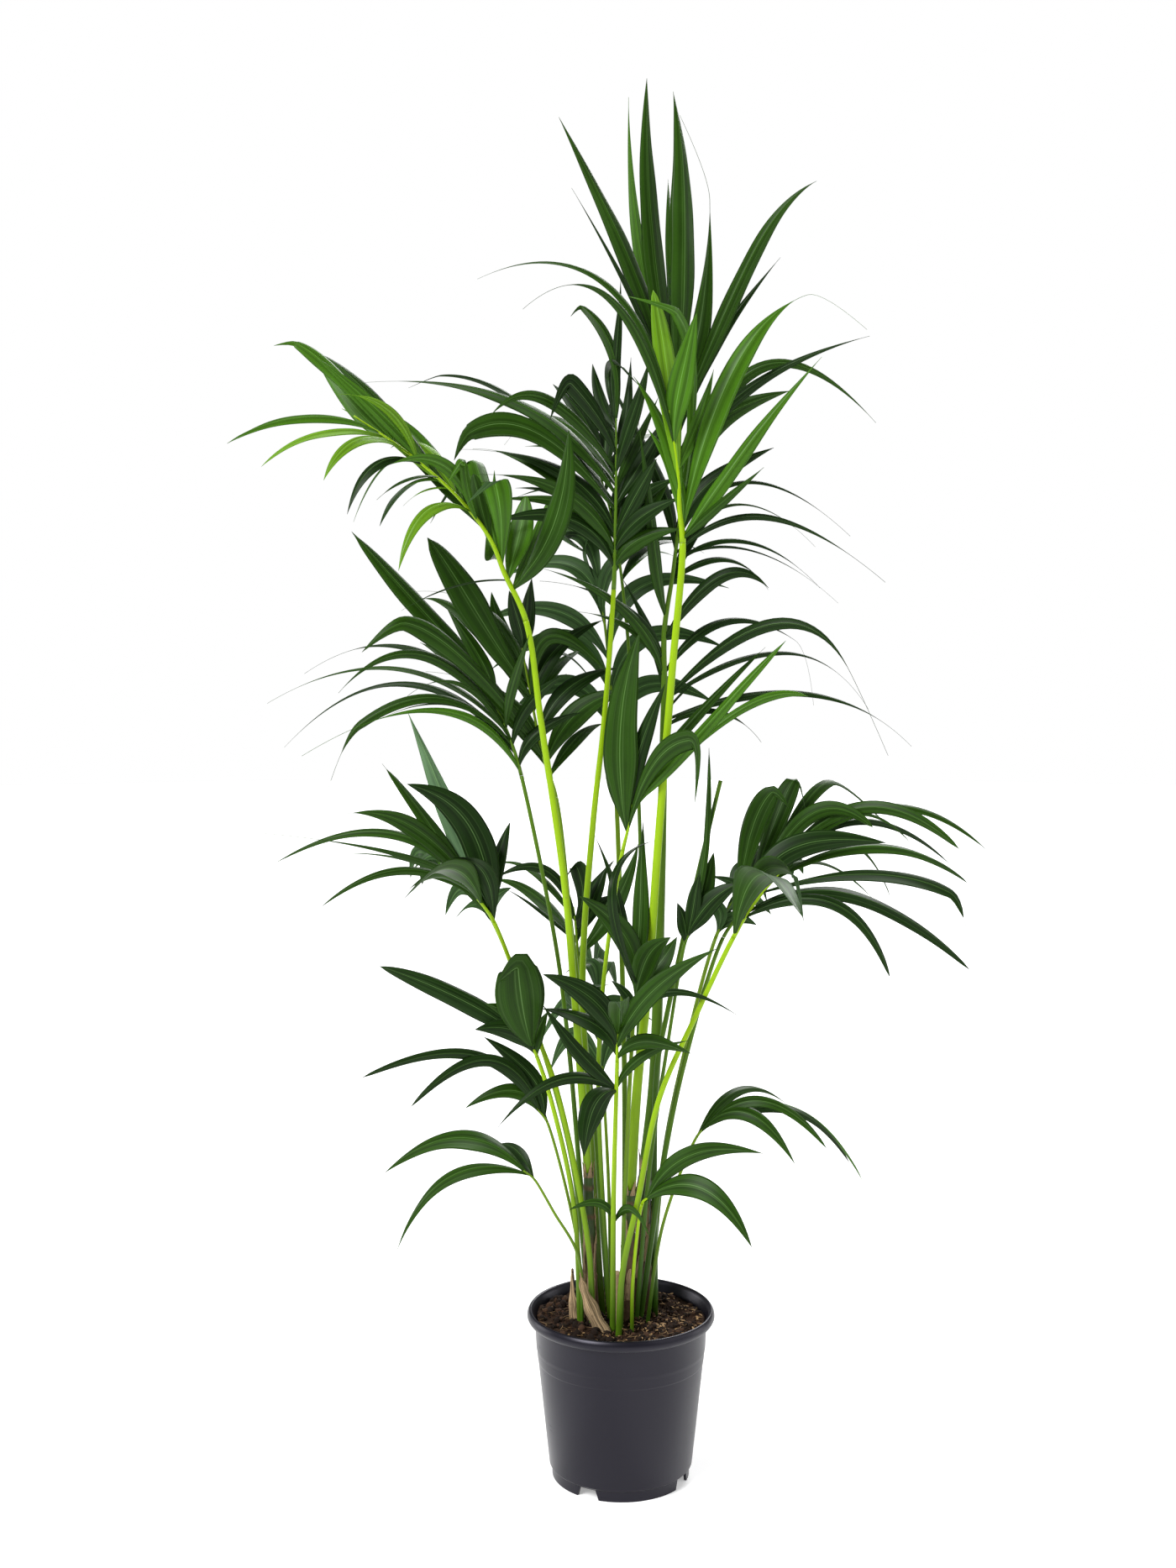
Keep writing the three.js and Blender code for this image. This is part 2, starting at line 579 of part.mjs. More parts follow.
// Leaflets in even pairs along a rib, longest below its middle, for a frond that grows away to the back.
function featherRows(frond, line) {
  const { pairs, length, spread, ahead, drop, arch, width } = frond.feather;
  const face = vector(frond.face).normalize();
  const rows = [];
  for (let i = 0; i < pairs; i++) {
    const seat = i / (pairs - 1);
    const { direction } = along(line, seat);
    const size = length * (1 - FEATHER.shorten * Math.abs(seat - FEATHER.longest));
    const side = new THREE.Vector3().crossVectors(direction, face).normalize();
    for (const hand of [-1, 1]) {
      const reach = side
        .clone()
        .multiplyScalar(hand * size * (spread - FEATHER.turn * seat))
        .addScaledVector(direction, size * (ahead + FEATHER.turn * seat))
        .addScaledVector(UP, -drop - FEATHER.dropStep * (i % 3));
      const uneven = (i + (hand > 0 ? 1 : 0)) % 3;
      rows.push([seat, reach.x, reach.z, reach.y, arch + FEATHER.archStep * uneven, width]);
    }
  }
  return rows;
}

// The largest body of a solid: a hollow sealed between fused leaflets is filled, and a loose scrap is dropped.
function wholeOf(solid) {
  return solid.decompose().reduce((most, body) => (body.volume() > most.volume() ? body : most));
}

const placed = []; // every solid that stands so far, with its node's name and its box

function place(name, solid, blade) {
  placed.push({ name, solid, blade, box: solid.boundingBox() });
}

// Whether a solid misses every other node, and its blade, where one is given, the other blades of its own frond.
function isClear(name, solid, blade) {
  const box = solid.boundingBox();
  return placed.every((other) => {
    for (let k = 0; k < 3; k++) {
      if (other.box.min[k] > box.max[k] || other.box.max[k] < box.min[k]) return true;
    }
    if (other.name !== name) return other.solid.intersect(solid).isEmpty();
    return !blade || !other.blade || other.blade.intersect(blade).isEmpty();
  });
}

function material(color, roughness) {
  return new THREE.MeshStandardMaterial({ color, roughness, metalness: 0 });
}

const finishes = {
  leaf: material(COLOURS.leaf, 0.45),
  stalk: material(COLOURS.stalk, 0.5),
  cane: material(COLOURS.cane, 0.7),
  husk: material(COLOURS.husk, 0.95),
  soil: material(COLOURS.soil, 1),
  pot: material(COLOURS.pot, 0.5),
};

function mesh(name, geometry, finish) {
  const made = new THREE.Mesh(geometry.index ? geometry.toNonIndexed() : geometry, finishes[finish]);
  made.geometry.computeVertexNormals();
  made.name = name;
  return made;
}

// The pot: a turned wall with a rolled rim, a band under it and a notched skirt, and holes in its floor.
function makePot() {
  const p = POT;
  const profile = [
    [0, p.skirtHeight],
    [p.skirtRadius - p.wall, p.skirtHeight],
    [p.skirtRadius - p.wall - 1, 0],
    [p.skirtRadius, 0],
    [p.skirtRadius + 0.6, p.skirtHeight - 1],
    [p.footRadius, p.skirtHeight + 1],
    [p.bodyRadius, p.bandFoot - 4],
    [p.bandRadius - 1.5, p.bandFoot],
    [p.bandRadius, p.height - p.rimHeight],
    [p.rimRadius - 2.5, p.height - p.rimHeight - 1],
    [p.rimRadius, p.height - p.rimHeight + 3],
    [p.rimRadius, p.height - 5],
    [p.rimRadius - 3, p.height - 0.6],
    [p.mouthRadius + 3, p.height],
    [p.mouthRadius, p.height - 3],
    [p.bandRadius - p.wall, p.height - p.rimHeight - 2],
    [p.footRadius - p.wall, p.floor + 4],
    [p.footRadius - p.wall - 4, p.floor],
    [0, p.floor],
  ].map(([radius, height]) => new THREE.Vector2(radius, height));
  const turned = new THREE.LatheGeometry(profile, p.segments).rotateX(Math.PI / 2);
  let solid = solidOf(turned);
  for (let i = 0; i < NOTCH.count; i++) {
    const angle = THREE.MathUtils.degToRad(NOTCH.first - 90 + (360 * i) / NOTCH.count);
    const notch = new THREE.BoxGeometry(NOTCH.depth, NOTCH.width, 2 * NOTCH.height)
      .translate(p.skirtRadius, 0, 0)
      .rotateZ(angle);
    solid = solid.subtract(solidOf(notch));
  }
  for (let i = 0; i < DRAIN.count; i++) {
    const angle = (2 * Math.PI * (i + 0.5)) / DRAIN.count;
    const hole = new THREE.CylinderGeometry(DRAIN.radius, DRAIN.radius, 3 * p.floor, DRAIN.sides)
      .rotateX(Math.PI / 2)
      .translate(DRAIN.ring * Math.cos(angle), DRAIN.ring * Math.sin(angle), p.floor);
    solid = solid.subtract(solidOf(hole));
  }
  return solid;
}

function makeSoil() {
  const p = POT;
  const wallAt = (z) => {
    const share = (z - p.floor - 4) / (p.height - p.rimHeight - 2 - p.floor - 4);
    return p.footRadius - p.wall + share * (p.bandRadius - p.footRadius) - 0.6;
  };
  const profile = [
    [0, p.floor + GAP],
    [p.footRadius - p.wall - 5, p.floor + GAP],
    [wallAt(p.floor + 5), p.floor + 5],
    [wallAt(SOIL), SOIL],
    [0, SOIL],
  ].map(([radius, height]) => new THREE.Vector2(radius, height));
  return solidOf(new THREE.LatheGeometry(profile, p.segments).rotateX(Math.PI / 2));
}

// A flat strip of dry sheath, folded along its middle and narrowing to its top.
function makeHusk({ line, width, face }) {
  const curve = curveThrough(line);
  const front = vector(face).normalize();
  const rings = HUSK.shares.map((share) => {
    const direction = share === 0 ? UP : curve.getTangent(share);
    const side = new THREE.Vector3().crossVectors(direction, front).normalize();
    const above = new THREE.Vector3().crossVectors(side, direction);
    const half = (width / 2) * (1 - HUSK.taper * share);
    const at = (out, depth) =>
      curve
        .getPoint(share)
        .addScaledVector(side, out)
        .addScaledVector(above, depth - HUSK.back);
    const fold = HUSK.thick + HUSK.fold + HUSK.back;
    return [at(half, 0), at(-half, 0), at(-half, HUSK.thick), at(0, fold), at(half, HUSK.thick)];
  });
  return skin(rings);
}

const palm = new THREE.Group();
const stems = new THREE.Group();
const crown = new THREE.Group();
palm.add(stems, crown);

const container = { pot: makePot(), soil: makeSoil() };
for (const [name, solid] of Object.entries(container)) {
  place(name, solid);
  palm.add(mesh(name, geometryOf(solid), name));
}

for (const { name, line, radii } of canes) {
  const level = { levelFoot: true, levelTop: true };
  const geometry = limb(curveThrough(line), 0, 1, radii, CANE.sides, CANE.steps, level);
  place(name, solidOf(geometry));
  stems.add(mesh(name, geometry, name.startsWith("cut") ? "stalk" : "cane"));
}

for (const husk of husks) {
  const geometry = makeHusk(husk);
  place(husk.name, solidOf(geometry));
  stems.add(mesh(husk.name, geometry, "husk"));
}

// One curve runs through a frond's stalk and its rib. All of them stand before the first leaflet, so that every
// leaflet can be tested against them.
for (const frond of fronds) {
  const points = [frond.foot, ...frond.stalk, ...frond.rib];
  const curve = curveThrough(points);
  const collar = frond.stalk.length / (points.length - 1);
  const ribRadii = [frond.radii[1], RIB.tip];
  const steps = frond.stalk.length + STALK.moreSteps;
  const stalk = limb(curve, 0, collar, frond.radii, STALK.sides, steps, { levelFoot: true });
  const rib = limb(curve, collar, 1, ribRadii, RIB.sides, frond.rib.length, { lift: GAP });
  frond.line = Array.from({ length: RIB.samples + 1 }, (_, i) =>
    curve.getPoint(collar + ((1 - collar) * i) / RIB.samples),
  );
  frond.solid = solidOf(rib);
  place("stalk_" + frond.name, solidOf(stalk));
  place("frond_" + frond.name, frond.solid);
  stems.add(mesh("stalk_" + frond.name, stalk, "stalk"));
}

// A leaflet that finds no free place is left out.
for (const frond of fronds) {
  const name = "frond_" + frond.name;
  const face = vector(frond.face).normalize();
  const rows = frond.leaflets ?? featherRows(frond, frond.line);
  for (const [seat, out, up, back, arch, width, lean = LEAF.lean] of rows) {
    const root = along(frond.line, LEAF.firstSeat + LEAF.seats * seat).point;
    const size = { arch, lean, width, face };
    const reach = (step) => new THREE.Vector3(out, back + step, up);
    const whole = (step) => leaflet(root, reach(step), { ...size, spare: LEAF.clear });
    const blade = (step) => leaflet(root, reach(step), { ...size, bladeOnly: true });
    const shift =
      SHIFTS.find((step) => isClear(name, whole(step), blade(step))) ??
      SHIFTS.find((step) => isClear(name, whole(step)));
    if (shift === undefined) continue;
    const solid = leaflet(root, reach(shift), size);
    place(name, solid, blade(shift));
    frond.solid = frond.solid.add(solid);
  }
  crown.add(mesh(name, geometryOf(wholeOf(frond.solid)), "leaf"));
}

export default palm;
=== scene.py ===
"""A kentia palm in a round nursery pot, dressed as it looks in life.

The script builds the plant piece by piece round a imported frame: fine leaflets with veins, ribbed stalks,
ringed canes, dry sheaths, crumbly soil and a moulded pot. It is laid out as an add-on: the sizes and colours
are properties, each group of like pieces has its operator, and a panel in the sidebar lists them.
"""

import math

import bmesh
import bpy
import numpy as np
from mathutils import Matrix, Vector
from mathutils.bvhtree import BVHTree


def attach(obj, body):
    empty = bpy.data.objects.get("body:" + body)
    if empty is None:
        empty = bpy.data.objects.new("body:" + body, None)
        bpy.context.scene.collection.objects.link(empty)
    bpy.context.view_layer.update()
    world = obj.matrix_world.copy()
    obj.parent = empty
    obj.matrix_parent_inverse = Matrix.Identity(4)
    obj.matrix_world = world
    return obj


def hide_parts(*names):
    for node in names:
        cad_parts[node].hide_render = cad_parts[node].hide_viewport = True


bl_info = {
    "name": "Potted kentia palm",
    "version": (1, 0, 0),
    "blender": (4, 5, 0),
    "location": "View3D > Sidebar > Palm",
    "description": "Builds a kentia palm in a nursery pot, with its soil, stalks and feathered fronds",
    "category": "Add Mesh",
}

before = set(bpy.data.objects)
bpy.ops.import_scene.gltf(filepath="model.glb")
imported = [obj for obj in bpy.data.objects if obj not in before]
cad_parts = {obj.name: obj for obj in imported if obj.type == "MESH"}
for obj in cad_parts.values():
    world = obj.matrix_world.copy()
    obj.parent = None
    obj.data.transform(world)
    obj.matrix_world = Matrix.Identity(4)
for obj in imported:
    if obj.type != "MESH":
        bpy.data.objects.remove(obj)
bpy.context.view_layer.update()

# Lengths are millimetres here, as on the plant's drawing, and metres in the scene. The stalks start at SOIL,
# and the loose peat lies round them up to LEVEL.
MM = 0.001
GAP = 0.3
SOIL = 196.0
LEVEL = 202.5
START = SOIL + GAP
UP = np.array([0.0, 0.0, 1.0])
FRONT = np.array([0.0, -1.0, 0.0])
# The least angle of an edge that is shaded sharp, and what each kind of draw adds to the seed.
SHARP = math.radians(40)
SEEDS = dict(canes=1, husks=2, looks=100, places=300)

# NOTCH is a notch in the skirt and DRAIN a hole in the floor. The wall has a small step above step_height.
POT = dict(
    rim_radius=120.0, rim_height=13.0, height=215.0, mouth_radius=112.0, band_radius=110.0, band_foot=166.0,
    body_radius=107.5, step_height=149.0, foot_radius=91.5, skirt_radius=88.0, skirt_height=14.0, wall=2.2,
    floor=17.0,
)
NOTCH = dict(count=4, first=61.0, width=26.0, height=13.0, splay=4.0)
DRAIN = dict(count=4, radius=6.0, ring=52.0, depth=30.0, sides=24)

# BED is the block of peat: its corners, the rings of its top, and its gap to the wall. CLOD, FIBRE and CHIP
# are what lies on it: a clod's size, and the length and half width of a fibre and a chip.
BED = dict(sides=120, rings=34, gap=0.4, shoulder=6.0)
CLOD = dict(
    least=0.9, more=3.4, more_at_left=5.4, left=-15.0, rarity=3.2, uneven=0.3, squash=(0.7, 1.2), sunk=0.3,
    brown=0.26,
)
FIBRE = dict(length=(5, 15), half=(0.18, 0.4), points=6)
CHIP = dict(length=(2.5, 8.5), half=(0.5, 1.6), points=3)
LITTER = dict(tilt=0.25, bend=0.25, lift=(1.4, 3.0), flat=0.4, taper=0.6, bare_front=-50.0)

# A leaflet: where it is widest, how its outline rises and falls, its half width at the foot, the fold along
# its middle, its roll, and its seat on the rib. It keeps clear of its neighbours, but for its foot.
LEAF = dict(
    widest=0.44, rise=1.2, fall=0.85, foot=1.8, ridge=1 / 85, least_ridge=2.0, ridge_taper=0.6, roll=20.0,
    lean=0.4, first_seat=0.03, seats=0.96, clear=0.8, foot_share=0.2,
)
# A leaflet's blade, seen close: its twist, how much higher its fold is, how it wanders from its line, the
# ripples of its outline, the pleats beside its midrib, the waves of its edges, and its thickness.
BLADE = dict(
    steps=0.92, twist=24.0, fold=(1.1, 2.4), wander=0.012, wander_up=0.6, swings=(1.2, 2.2), ripple=0.035,
    ripple_length=17.0, point_taper=0.6, steepest=0.55, broad=9.0, dome=1.35, pleat=0.3, pleats_end=6,
    wave=0.9, wave_length=23.0, wave_in=3, skin=0.28, midrib=0.25, midrib_width=0.12, most_thick=0.9,
)
# A slender leaflet's tip that is only a thread: which leaflets have one, how often, and how long it is.
THREAD = dict(steepest=0.55, slender=0.11, chance=0.75, share=(0.08, 0.24))
# A bent leaflet's end: how round its bend is, and how far it hangs to the front.
HANG = dict(crest=0.25, front=-12.0)
# The outline of a leaflet beside the common one: how slim it is, and what that, or a bend, does to it.
OUTLINE = dict(broad=0.17, slim=0.08, narrow=0.12, lower=0.12, taper=0.45, bent_widest=0.6, bent_share=0.95)
# Shorter leaflets behind the main ones: how many there are, their size, and how far they turn to the back.
FILL = dict(chance=0.3, shortest=0.6, longest=0.85, least_turn=35.0, most_turn=110.0, narrow=0.85, slide=0.03)
# How far the crown goes to the front and to the back, and the steps that a leaflet tries to miss the others.
DEPTH = 318.0
SHIFTS = (0, 9, -9, 18, -18, 28, -28, 40, -40, 54, -54, 70, -70)
# The leaves' finishes by number, with how light their veins are and how much they shine. The first four are
# one leaf green in painted light and shade: deep is painted shade, and the third and fourth, veins too, are
# painted light, as though the sun shone on them or through them. UNDERSIDE is the number of under, and TONES
# says how many leaflets are sunlit or middle green.
LEAVES = (
    ("deep", 1.0, 0.12), ("middle", 1.0, 0.12), ("fresh", 1.3, 0.16), ("sunlit", 1.8, 0.16),
    ("under", 1.3, 0.1), ("pale", 1.9, 0.1),
)
UNDERSIDE = 4
TONES = dict(sunlit=0.3, middle=0.45)
# A rib: where a stalk's finish is past the painted shade of its foot, its radius at the tip, and the steps of
# its line.
RIB = dict(past_foot=0.66, tip=1.0, samples=48)
# A frond of even pairs: where its longest leaflets are, and how the others shorten, turn, drop and arch.
FEATHER = dict(longest=0.4, shorten=0.9, turn=0.4, drop_step=14.0, arch_step=8.0)

# A cane, with the ring scars round it, the strips of old sheath that cling to it, and the shreds on its top.
# DRY is the number of its dry finish, and past_foot where the finish starts on a stalk that stands on it,
# past the painted shade at the stalk's foot.
DRY = 1
CANE = dict(rows=90, sides=28, inset=0.4, sway=(0.5, 0.4, 0.0), bends=14, strips=12, past_foot=0.3)
RING = dict(places=(0.1, 0.3, 0.5, 0.7, 0.9), height=0.7, width=0.014, groove=0.35, below=0.022, narrow=0.01)
STRIP = dict(
    rows=14, foot=(0.02, 0.55), length=(0.15, 0.4), top=0.97, turn=0.15, lift=0.25, curl=2.2, half=(1.6, 4.2),
    thick=0.45,
)
TORN = dict(count=5, rows=8, turn=0.3, height=(8.0, 19.0), sunk=6.0, lift=1.2, half=3.6, thick=0.5)
# A dry sheath at the canes' foot: its rows and columns, its taper and swells, its roll, and its torn edge.
CURL = dict(
    rows=44, columns=18, narrow=0.85, taper=1.6, swell=0.14, swells=17, twist=0.5, twists=4.5, roll=1.0,
    more_roll=0.5, lift=2.6, crease=0.8, creases=8, tears=9, tear=(-16, 3), torn=6, thick=0.6,
)

# The camera's lens and sensor in millimetres, its place in metres, and how far it looks down in degrees. Each
# lamp has the way it shines from, its strength, and how soft it is, in degrees. The surround lights the plant
# less than it is seen.
CAMERA = dict(lens=40.3, sensor=36.0, place=(-0.042, -2.2, 1.033), down=3.8)
LAMPS = dict(
    sun_left=((-1.1, -1.0, 1.35), 3.4, 28.0),
    sun_right=((1.3, -0.5, 0.9), 0.7, 50.0),
    sun_behind=((0.5, 1.2, 1.1), 2.0, 30.0),
    rim_left=((-0.91, 0.41, 0.2), 0.6, 24.0),
    rim_right=((0.97, 0.26, 0.2), 0.4, 24.0),
)
FLOOR = dict(radius=14.0, sides=96, glow=0.35)
SURROUND = dict(lit=0.18, seen=1.0)

CANES = [
    dict(name="cane_left", line=[(-38, -12, START), (-40, -13, 300), (-42, -14, 395)], radii=(10.5, 6.5)),
    dict(name="cane_centre", line=[(6, -8, START), (9, -10, 290), (12, -12, 372)], radii=(9, 7.5)),
    dict(name="cane_right", line=[(27, 21, START), (29, 22, 300), (32, 23, 395)], radii=(12, 9)),
]
CUTS = [
    dict(
        name="cut_stub",
        line=[(-5, -27, START), (-5, -27, 235), (-6, -27, 271)],
        radii=(4.4, 3.8),
        steps=16,
    ),
    dict(
        name="cut_petiole",
        line=[(44, 12, START), (46, 14, 521), (58, 16, 588), (98, 18, 772), (126, 20, 890)],
        radii=(4, 2.6),
        steps=60,
    ),
]
HUSKS = [
    dict(
        name="husk_front",
        line=[(-22, -48, START), (-36, -47, 226), (-47, -45, 254), (-52, -43, 276)],
        width=21,
        face=(0, -1, 0.2),
    ),
    dict(
        name="husk_side",
        line=[(-60, -8, START), (-61, -10, 232), (-60, -12, 268)],
        width=17,
        face=(-1, -0.5, 0),
    ),
]

# Each frond: foot and stalk are points of its stem, and rib goes on from the stem's end. face is the way that
# its blades look, light the share of leaflets painted lighter, as though the sun shone through them, stem the
# colour of its stalk. A leaflet has its seat along the rib, how far its tip stands out, up and back from
# there, its arch, its width and, where the arch is highest further out, that place. hangs gives the ends that
# hang, looks what is special to a leaflet, among it the green of its painted light or shade, rachis the
# colour of its rib, plump widens slim leaflets, fill stands shorter ones behind them, and feather makes even
# pairs instead.
FRONDS = [
    dict(
        name="tall_back",
        stem="green",
        light=0.0,
        foot=(32, 23, 395.3),
        stalk=[(43, 26, 505), (50, 30, 735), (53, 34, 883), (54, 36, 935)],
        rib=[(55, 38, 1000), (55, 40, 1080), (67, 42, 1162), (76, 44, 1263), (68, 46, 1376)],
        radii=(8, 5),
        fill=True,
        face=(0, -1, 0.25),
        leaflets=[
            (0.02, 118, -17, -60, 30, 10, 0.6), (0.6, 228, 2, 60, 66, 9, 0.34),
            (0.54, 253, -39, -90, 58, 11, 0.36), (0.52, 226, -49, 130, 38, 7, 0.36),
            (0.46, 126, -10, 30, 32, 12, 0.58), (0.28, 128, 64, -40, 40, 20, 0.8),
            (0.18, 173, 44, 60, 46, 15, 0.52), (0.1, 218, 42, -110, 68, 17, 0.8),
            (0.1, 282, -15, 140, 70, 11, 0.6), (0.04, 310, -32, -30, 52, 13, 0.58),
            (1, -36, 391, -10, -14, 30, 0.5), (0.98, -4, 397, 25, 52, 39, 0.5),
            (0.96, 42, 266, 8, -14, 22, 0.42), (0.94, -147, 378, 10, 10, 29, 0.44),
            (0.94, -131, 274, -50, 10, 11, 0.46), (0.92, 167, 292, -45, 22, 26, 0.78),
            (0.57, 123, 124, 10, 22, 26), (0.65, 135, 154, -25, 45, 34),
            (0.68, 244, 103, -20, 120, 20, 0.7), (0.76, 221, 161, -100, 40, 18),
            (0.17, -151, 133, -65, 30, 18), (0.22, -156, 97, -65, 30, 16), (0.12, -55, 150, 10, 10, 16),
            (0.35, -36, 237, -55, -6, 20), (0.55, -90, 237, 80, 15, 22),
        ],
        more=[
            (0.94, -57, 426, 90, -32, 25, 0.46), (0.06, 82, 62, 40, 10, 4, 0.66),
            (0.44, 96, 115, 110, 26, 18, 0.58),
        ],
        hangs={6: (23, -85), 7: (47, -106), 12: (-39, 100)},
        looks={
            6: dict(widest=0.34, fall=1.4, thread=0.3), 7: dict(widest=0.34, fall=1.4, thread=0.3),
            10: dict(tone=1, width=29, widest=0.42, fall=0.9), 11: dict(width=34, widest=0.42, fall=1),
            12: dict(tone=1, width=28, widest=0.34, fall=1.5, thread=0.3),
            13: dict(tone=1, width=27, widest=0.4, fall=1.0),
            25: dict(tone=2),
        },
    ),
    dict(
        name="centre_back",
        stem="bright",
        rachis="green",
        light=0.02,
        foot=(-24, 6, START),
        stalk=[(-38, 8, 420), (-49, 8, 637), (-36, 5, 834), (-22, 3, 965), (-10, 4, 1130)],
        rib=[(-8, 6, 1200), (-7, 9, 1270), (-7, 12, 1345)],
        radii=(5, 3),
        fill=True,
        face=(0, -1, 0.2),
        leaflets=[
            (0.98, 4, 66, -30, 82, 17, 0.46), (0.94, -29, 84, 30, -8, 17, 0.46),
            (0.78, -56, 81, -40, 6, 25, 0.44), (0.68, -153, 57, -70, 48, 19, 0.8),
            (1, -42, 140, 25, 22, 14, 0.54), (1, 4, 173, 0, 0, 15, 0.48),
            (0.54, -329, 153, 90, 52, 25, 0.44), (0.44, -179, 93, -30, 38, 31, 0.76),
            (0.34, -181, 104, 50, 20, 24, 0.66), (0.68, 39, 132, -20, -2, 21, 0.46),
            (0.48, 73, 122, 45, 0, 24, 0.48), (0.28, 50, 95, -15, 0, 23, 0.48),
            (0.2, 71, 94, 60, 0, 25, 0.42), (0.3, -200, 109, 30, 36, 26), (0.2, -172, 83, -90, 36, 24),
            (0.1, -147, 53, -50, 36, 24), (0.3, 76, 71, 15, 14, 26), (0.2, 78, 61, -45, 12, 24),
            (0.1, 80, 46, -25, 14, 22),
        ],
        more=[
            (0.48, -229, 181, 150, 34, 10, 0.66), (0.62, -114, 92, 120, 24, 17, 0.68),
            (0.84, 21, 118, 60, -12, 16, 0.44), (0.58, 58, 132, 110, 0, 18, 0.48),
        ],
        hangs={
            0: (23, -28), 2: (-25, -45), 4: (-14, -13), 7: (-19, -35), 19: (-42, -17), 20: (-30, -34),
        },
    ),
    dict(
        name="right_front",
        stem="bright",
        light=0.3,
        foot=(12, -12, 372.3),
        stalk=[(20, -15, 505), (33, -24, 637), (45, -34, 818), (61, -42, 1027), (73, -50, 1184)],
        rib=[(69, -54, 1224), (67, -58, 1264), (56, -62, 1342)],
        radii=(6.5, 4),
        face=(0.1, -1, 0.25),
        leaflets=[
            (0, 92, 80, -60, 0, 15, 0.44), (0, 165, 215, -20, 4, 24), (0.08, 155, 292, 45, 32, 36, 0.8),
            (0.2, -9, 235, -25, 72, 23, 0.8), (0.44, -33, 234, 20, 6, 23, 0.44),
            (0.76, -178, 136, -110, 84, 16, 0.78), (0.9, -237, 187, 60, 86, 13, 0.64),
            (0.1, -41, 117, 0, 12, 20), (0.3, -55, 152, 45, 12, 24), (0.75, 25, 150, 30, 6, 24),
        ],
        more=[
            (0.54, 48, 132, 70, -6, 19, 0.48),
        ],
        hangs={2: (73, -47), 3: (-55, 16)},
        looks={
            0: dict(tone=1), 1: dict(tone=2), 2: dict(tone=2, width=31, widest=0.36, fall=1.4, thread=0.28),
            3: dict(tone=2, width=17), 4: dict(tone=3, width=31, widest=0.55, fall=0.6), 5: dict(tone=1),
            6: dict(tone=1), 7: dict(tone=2), 8: dict(tone=2),
            9: dict(tone=2, width=31, widest=0.5, fall=0.8), 10: dict(tone=2),
        },
    ),
    dict(
        name="left_arch",
        stem="bright",
        light=0.85,
        foot=(-42, -14, 395.3),
        stalk=[(-54, -20, 560), (-60, -24, 637), (-71, -30, 762), (-100, -40, 967), (-118, -48, 1090)],
        rib=[
            (-144, -52, 1148), (-161, -58, 1189), (-200, -70, 1239), (-259, -84, 1290),
            (-319, -100, 1330),
        ],
        radii=(5.5, 3.5),
        plump=1.3,
        face=(-0.05, -0.8, 0.6),
        leaflets=[
            (0.1, 69, 188, -35, -26, 36, 0.44), (0.14, 20, 106, 40, -6, 31, 0.42),
            (0.2, -3, 96, -70, 26, 34, 0.48), (0.28, -26, 106, 60, 6, 27, 0.46),
            (0.4, -15, 65, -20, -6, 22, 0.46), (0.42, -91, 54, -110, 34, 13, 0.5),
            (0.58, -158, 163, 40, 8, 16, 0.74), (0.72, -87, 69, -60, 26, 17, 0.5),
            (0.8, -118, 129, 90, -8, 17, 0.38), (0.82, -120, 119, 10, 8, 18, 0.74),
            (0.9, -168, -21, -60, 22, 18, 0.5), (0.86, -157, -30, 40, 24, 14, 0.5),
            (0.76, -85, -43, -110, 32, 17, 0.62), (0.7, -83, -64, -50, 28, 16, 0.38),
            (0.6, -84, -47, 80, 22, 15, 0.5), (0.44, -79, -75, -80, 34, 16),
        ],
        more=[
            (0.68, -95, -60, 60, 32, 8, 0.28), (0.62, -64, -34, -80, 10, 5, 0.38),
            (0.56, -59, -18, 30, 8, 4, 0.48), (0.14, -135, -35, 50, 10, 4, 0.46),
            (0.26, -7, 107, 90, -72, 24, 0.46), (0.36, -120, 118, 60, 10, 22, 0.46),
            (0.52, -86, 64, 110, 26, 15, 0.68), (0.1, 44, 121, 80, -8, 26, 0.44),
            (0.54, -139, 104, 30, 10, 13), (0.48, -112, 130, 90, 8, 18), (0.24, -12, 90, -30, -4, 26),
            (0.66, -128, 128, -30, 6, 15), (0.32, -20, 78, 30, 0, 22),
        ],
        hangs={2: (-33, -28), 3: (-55, -74), 4: (-17, -23), 9: (-24, -4)},
        looks={
            0: dict(tone=1, roll=15), 1: dict(tone=2, roll=0, widest=0.62, fall=0.6),
            2: dict(tone=2, roll=0), 4: dict(tone=2), 5: dict(tone=2, roll=0), 6: dict(tone=1, roll=-5),
            7: dict(tone=3, width=12, roll=0), 8: dict(roll=-5), 9: dict(tone=2, roll=-5), 10: dict(tone=2),
            21: dict(tone=1, roll=0), 24: dict(tone=3, roll=-5), 25: dict(tone=2, roll=-5),
            26: dict(tone=2, roll=0, widest=0.62, fall=0.55), 27: dict(tone=2, roll=-5),
            28: dict(tone=1, roll=0, widest=0.6, fall=0.6),
        },
    ),
    dict(
        name="mid_left_back",
        stem="deep",
        light=0.0,
        foot=(-14, 34, START),
        stalk=[(-38, 44, 480), (-64, 50, 700), (-83, 52, 866)],
        rib=[(-100, 54, 920), (-118, 57, 1010), (-127, 60, 1060)],
        radii=(4, 2.5),
        fill=True,
        face=(0, -1, 0.3),
        leaflets=[
            (0.38, -240, 267, 20, -4, 33, 0.46), (0.66, -131, 201, -30, 2, 45, 0.52),
            (0.28, -166, 164, -90, 16, 28, 0.8), (0.2, -169, 158, 90, 16, 28, 0.68),
            (0.58, -151, 145, 100, 26, 25, 0.78), (0.38, 101, 91, 40, 22, 27, 0.52),
            (0.2, 102, 93, -20, 22, 32, 0.56), (0.12, 69, 64, 90, 12, 20, 0.56),
            (0.76, -50, 119, 60, -12, 29, 0.48), (0.75, -159, 124, 155, 45, 14),
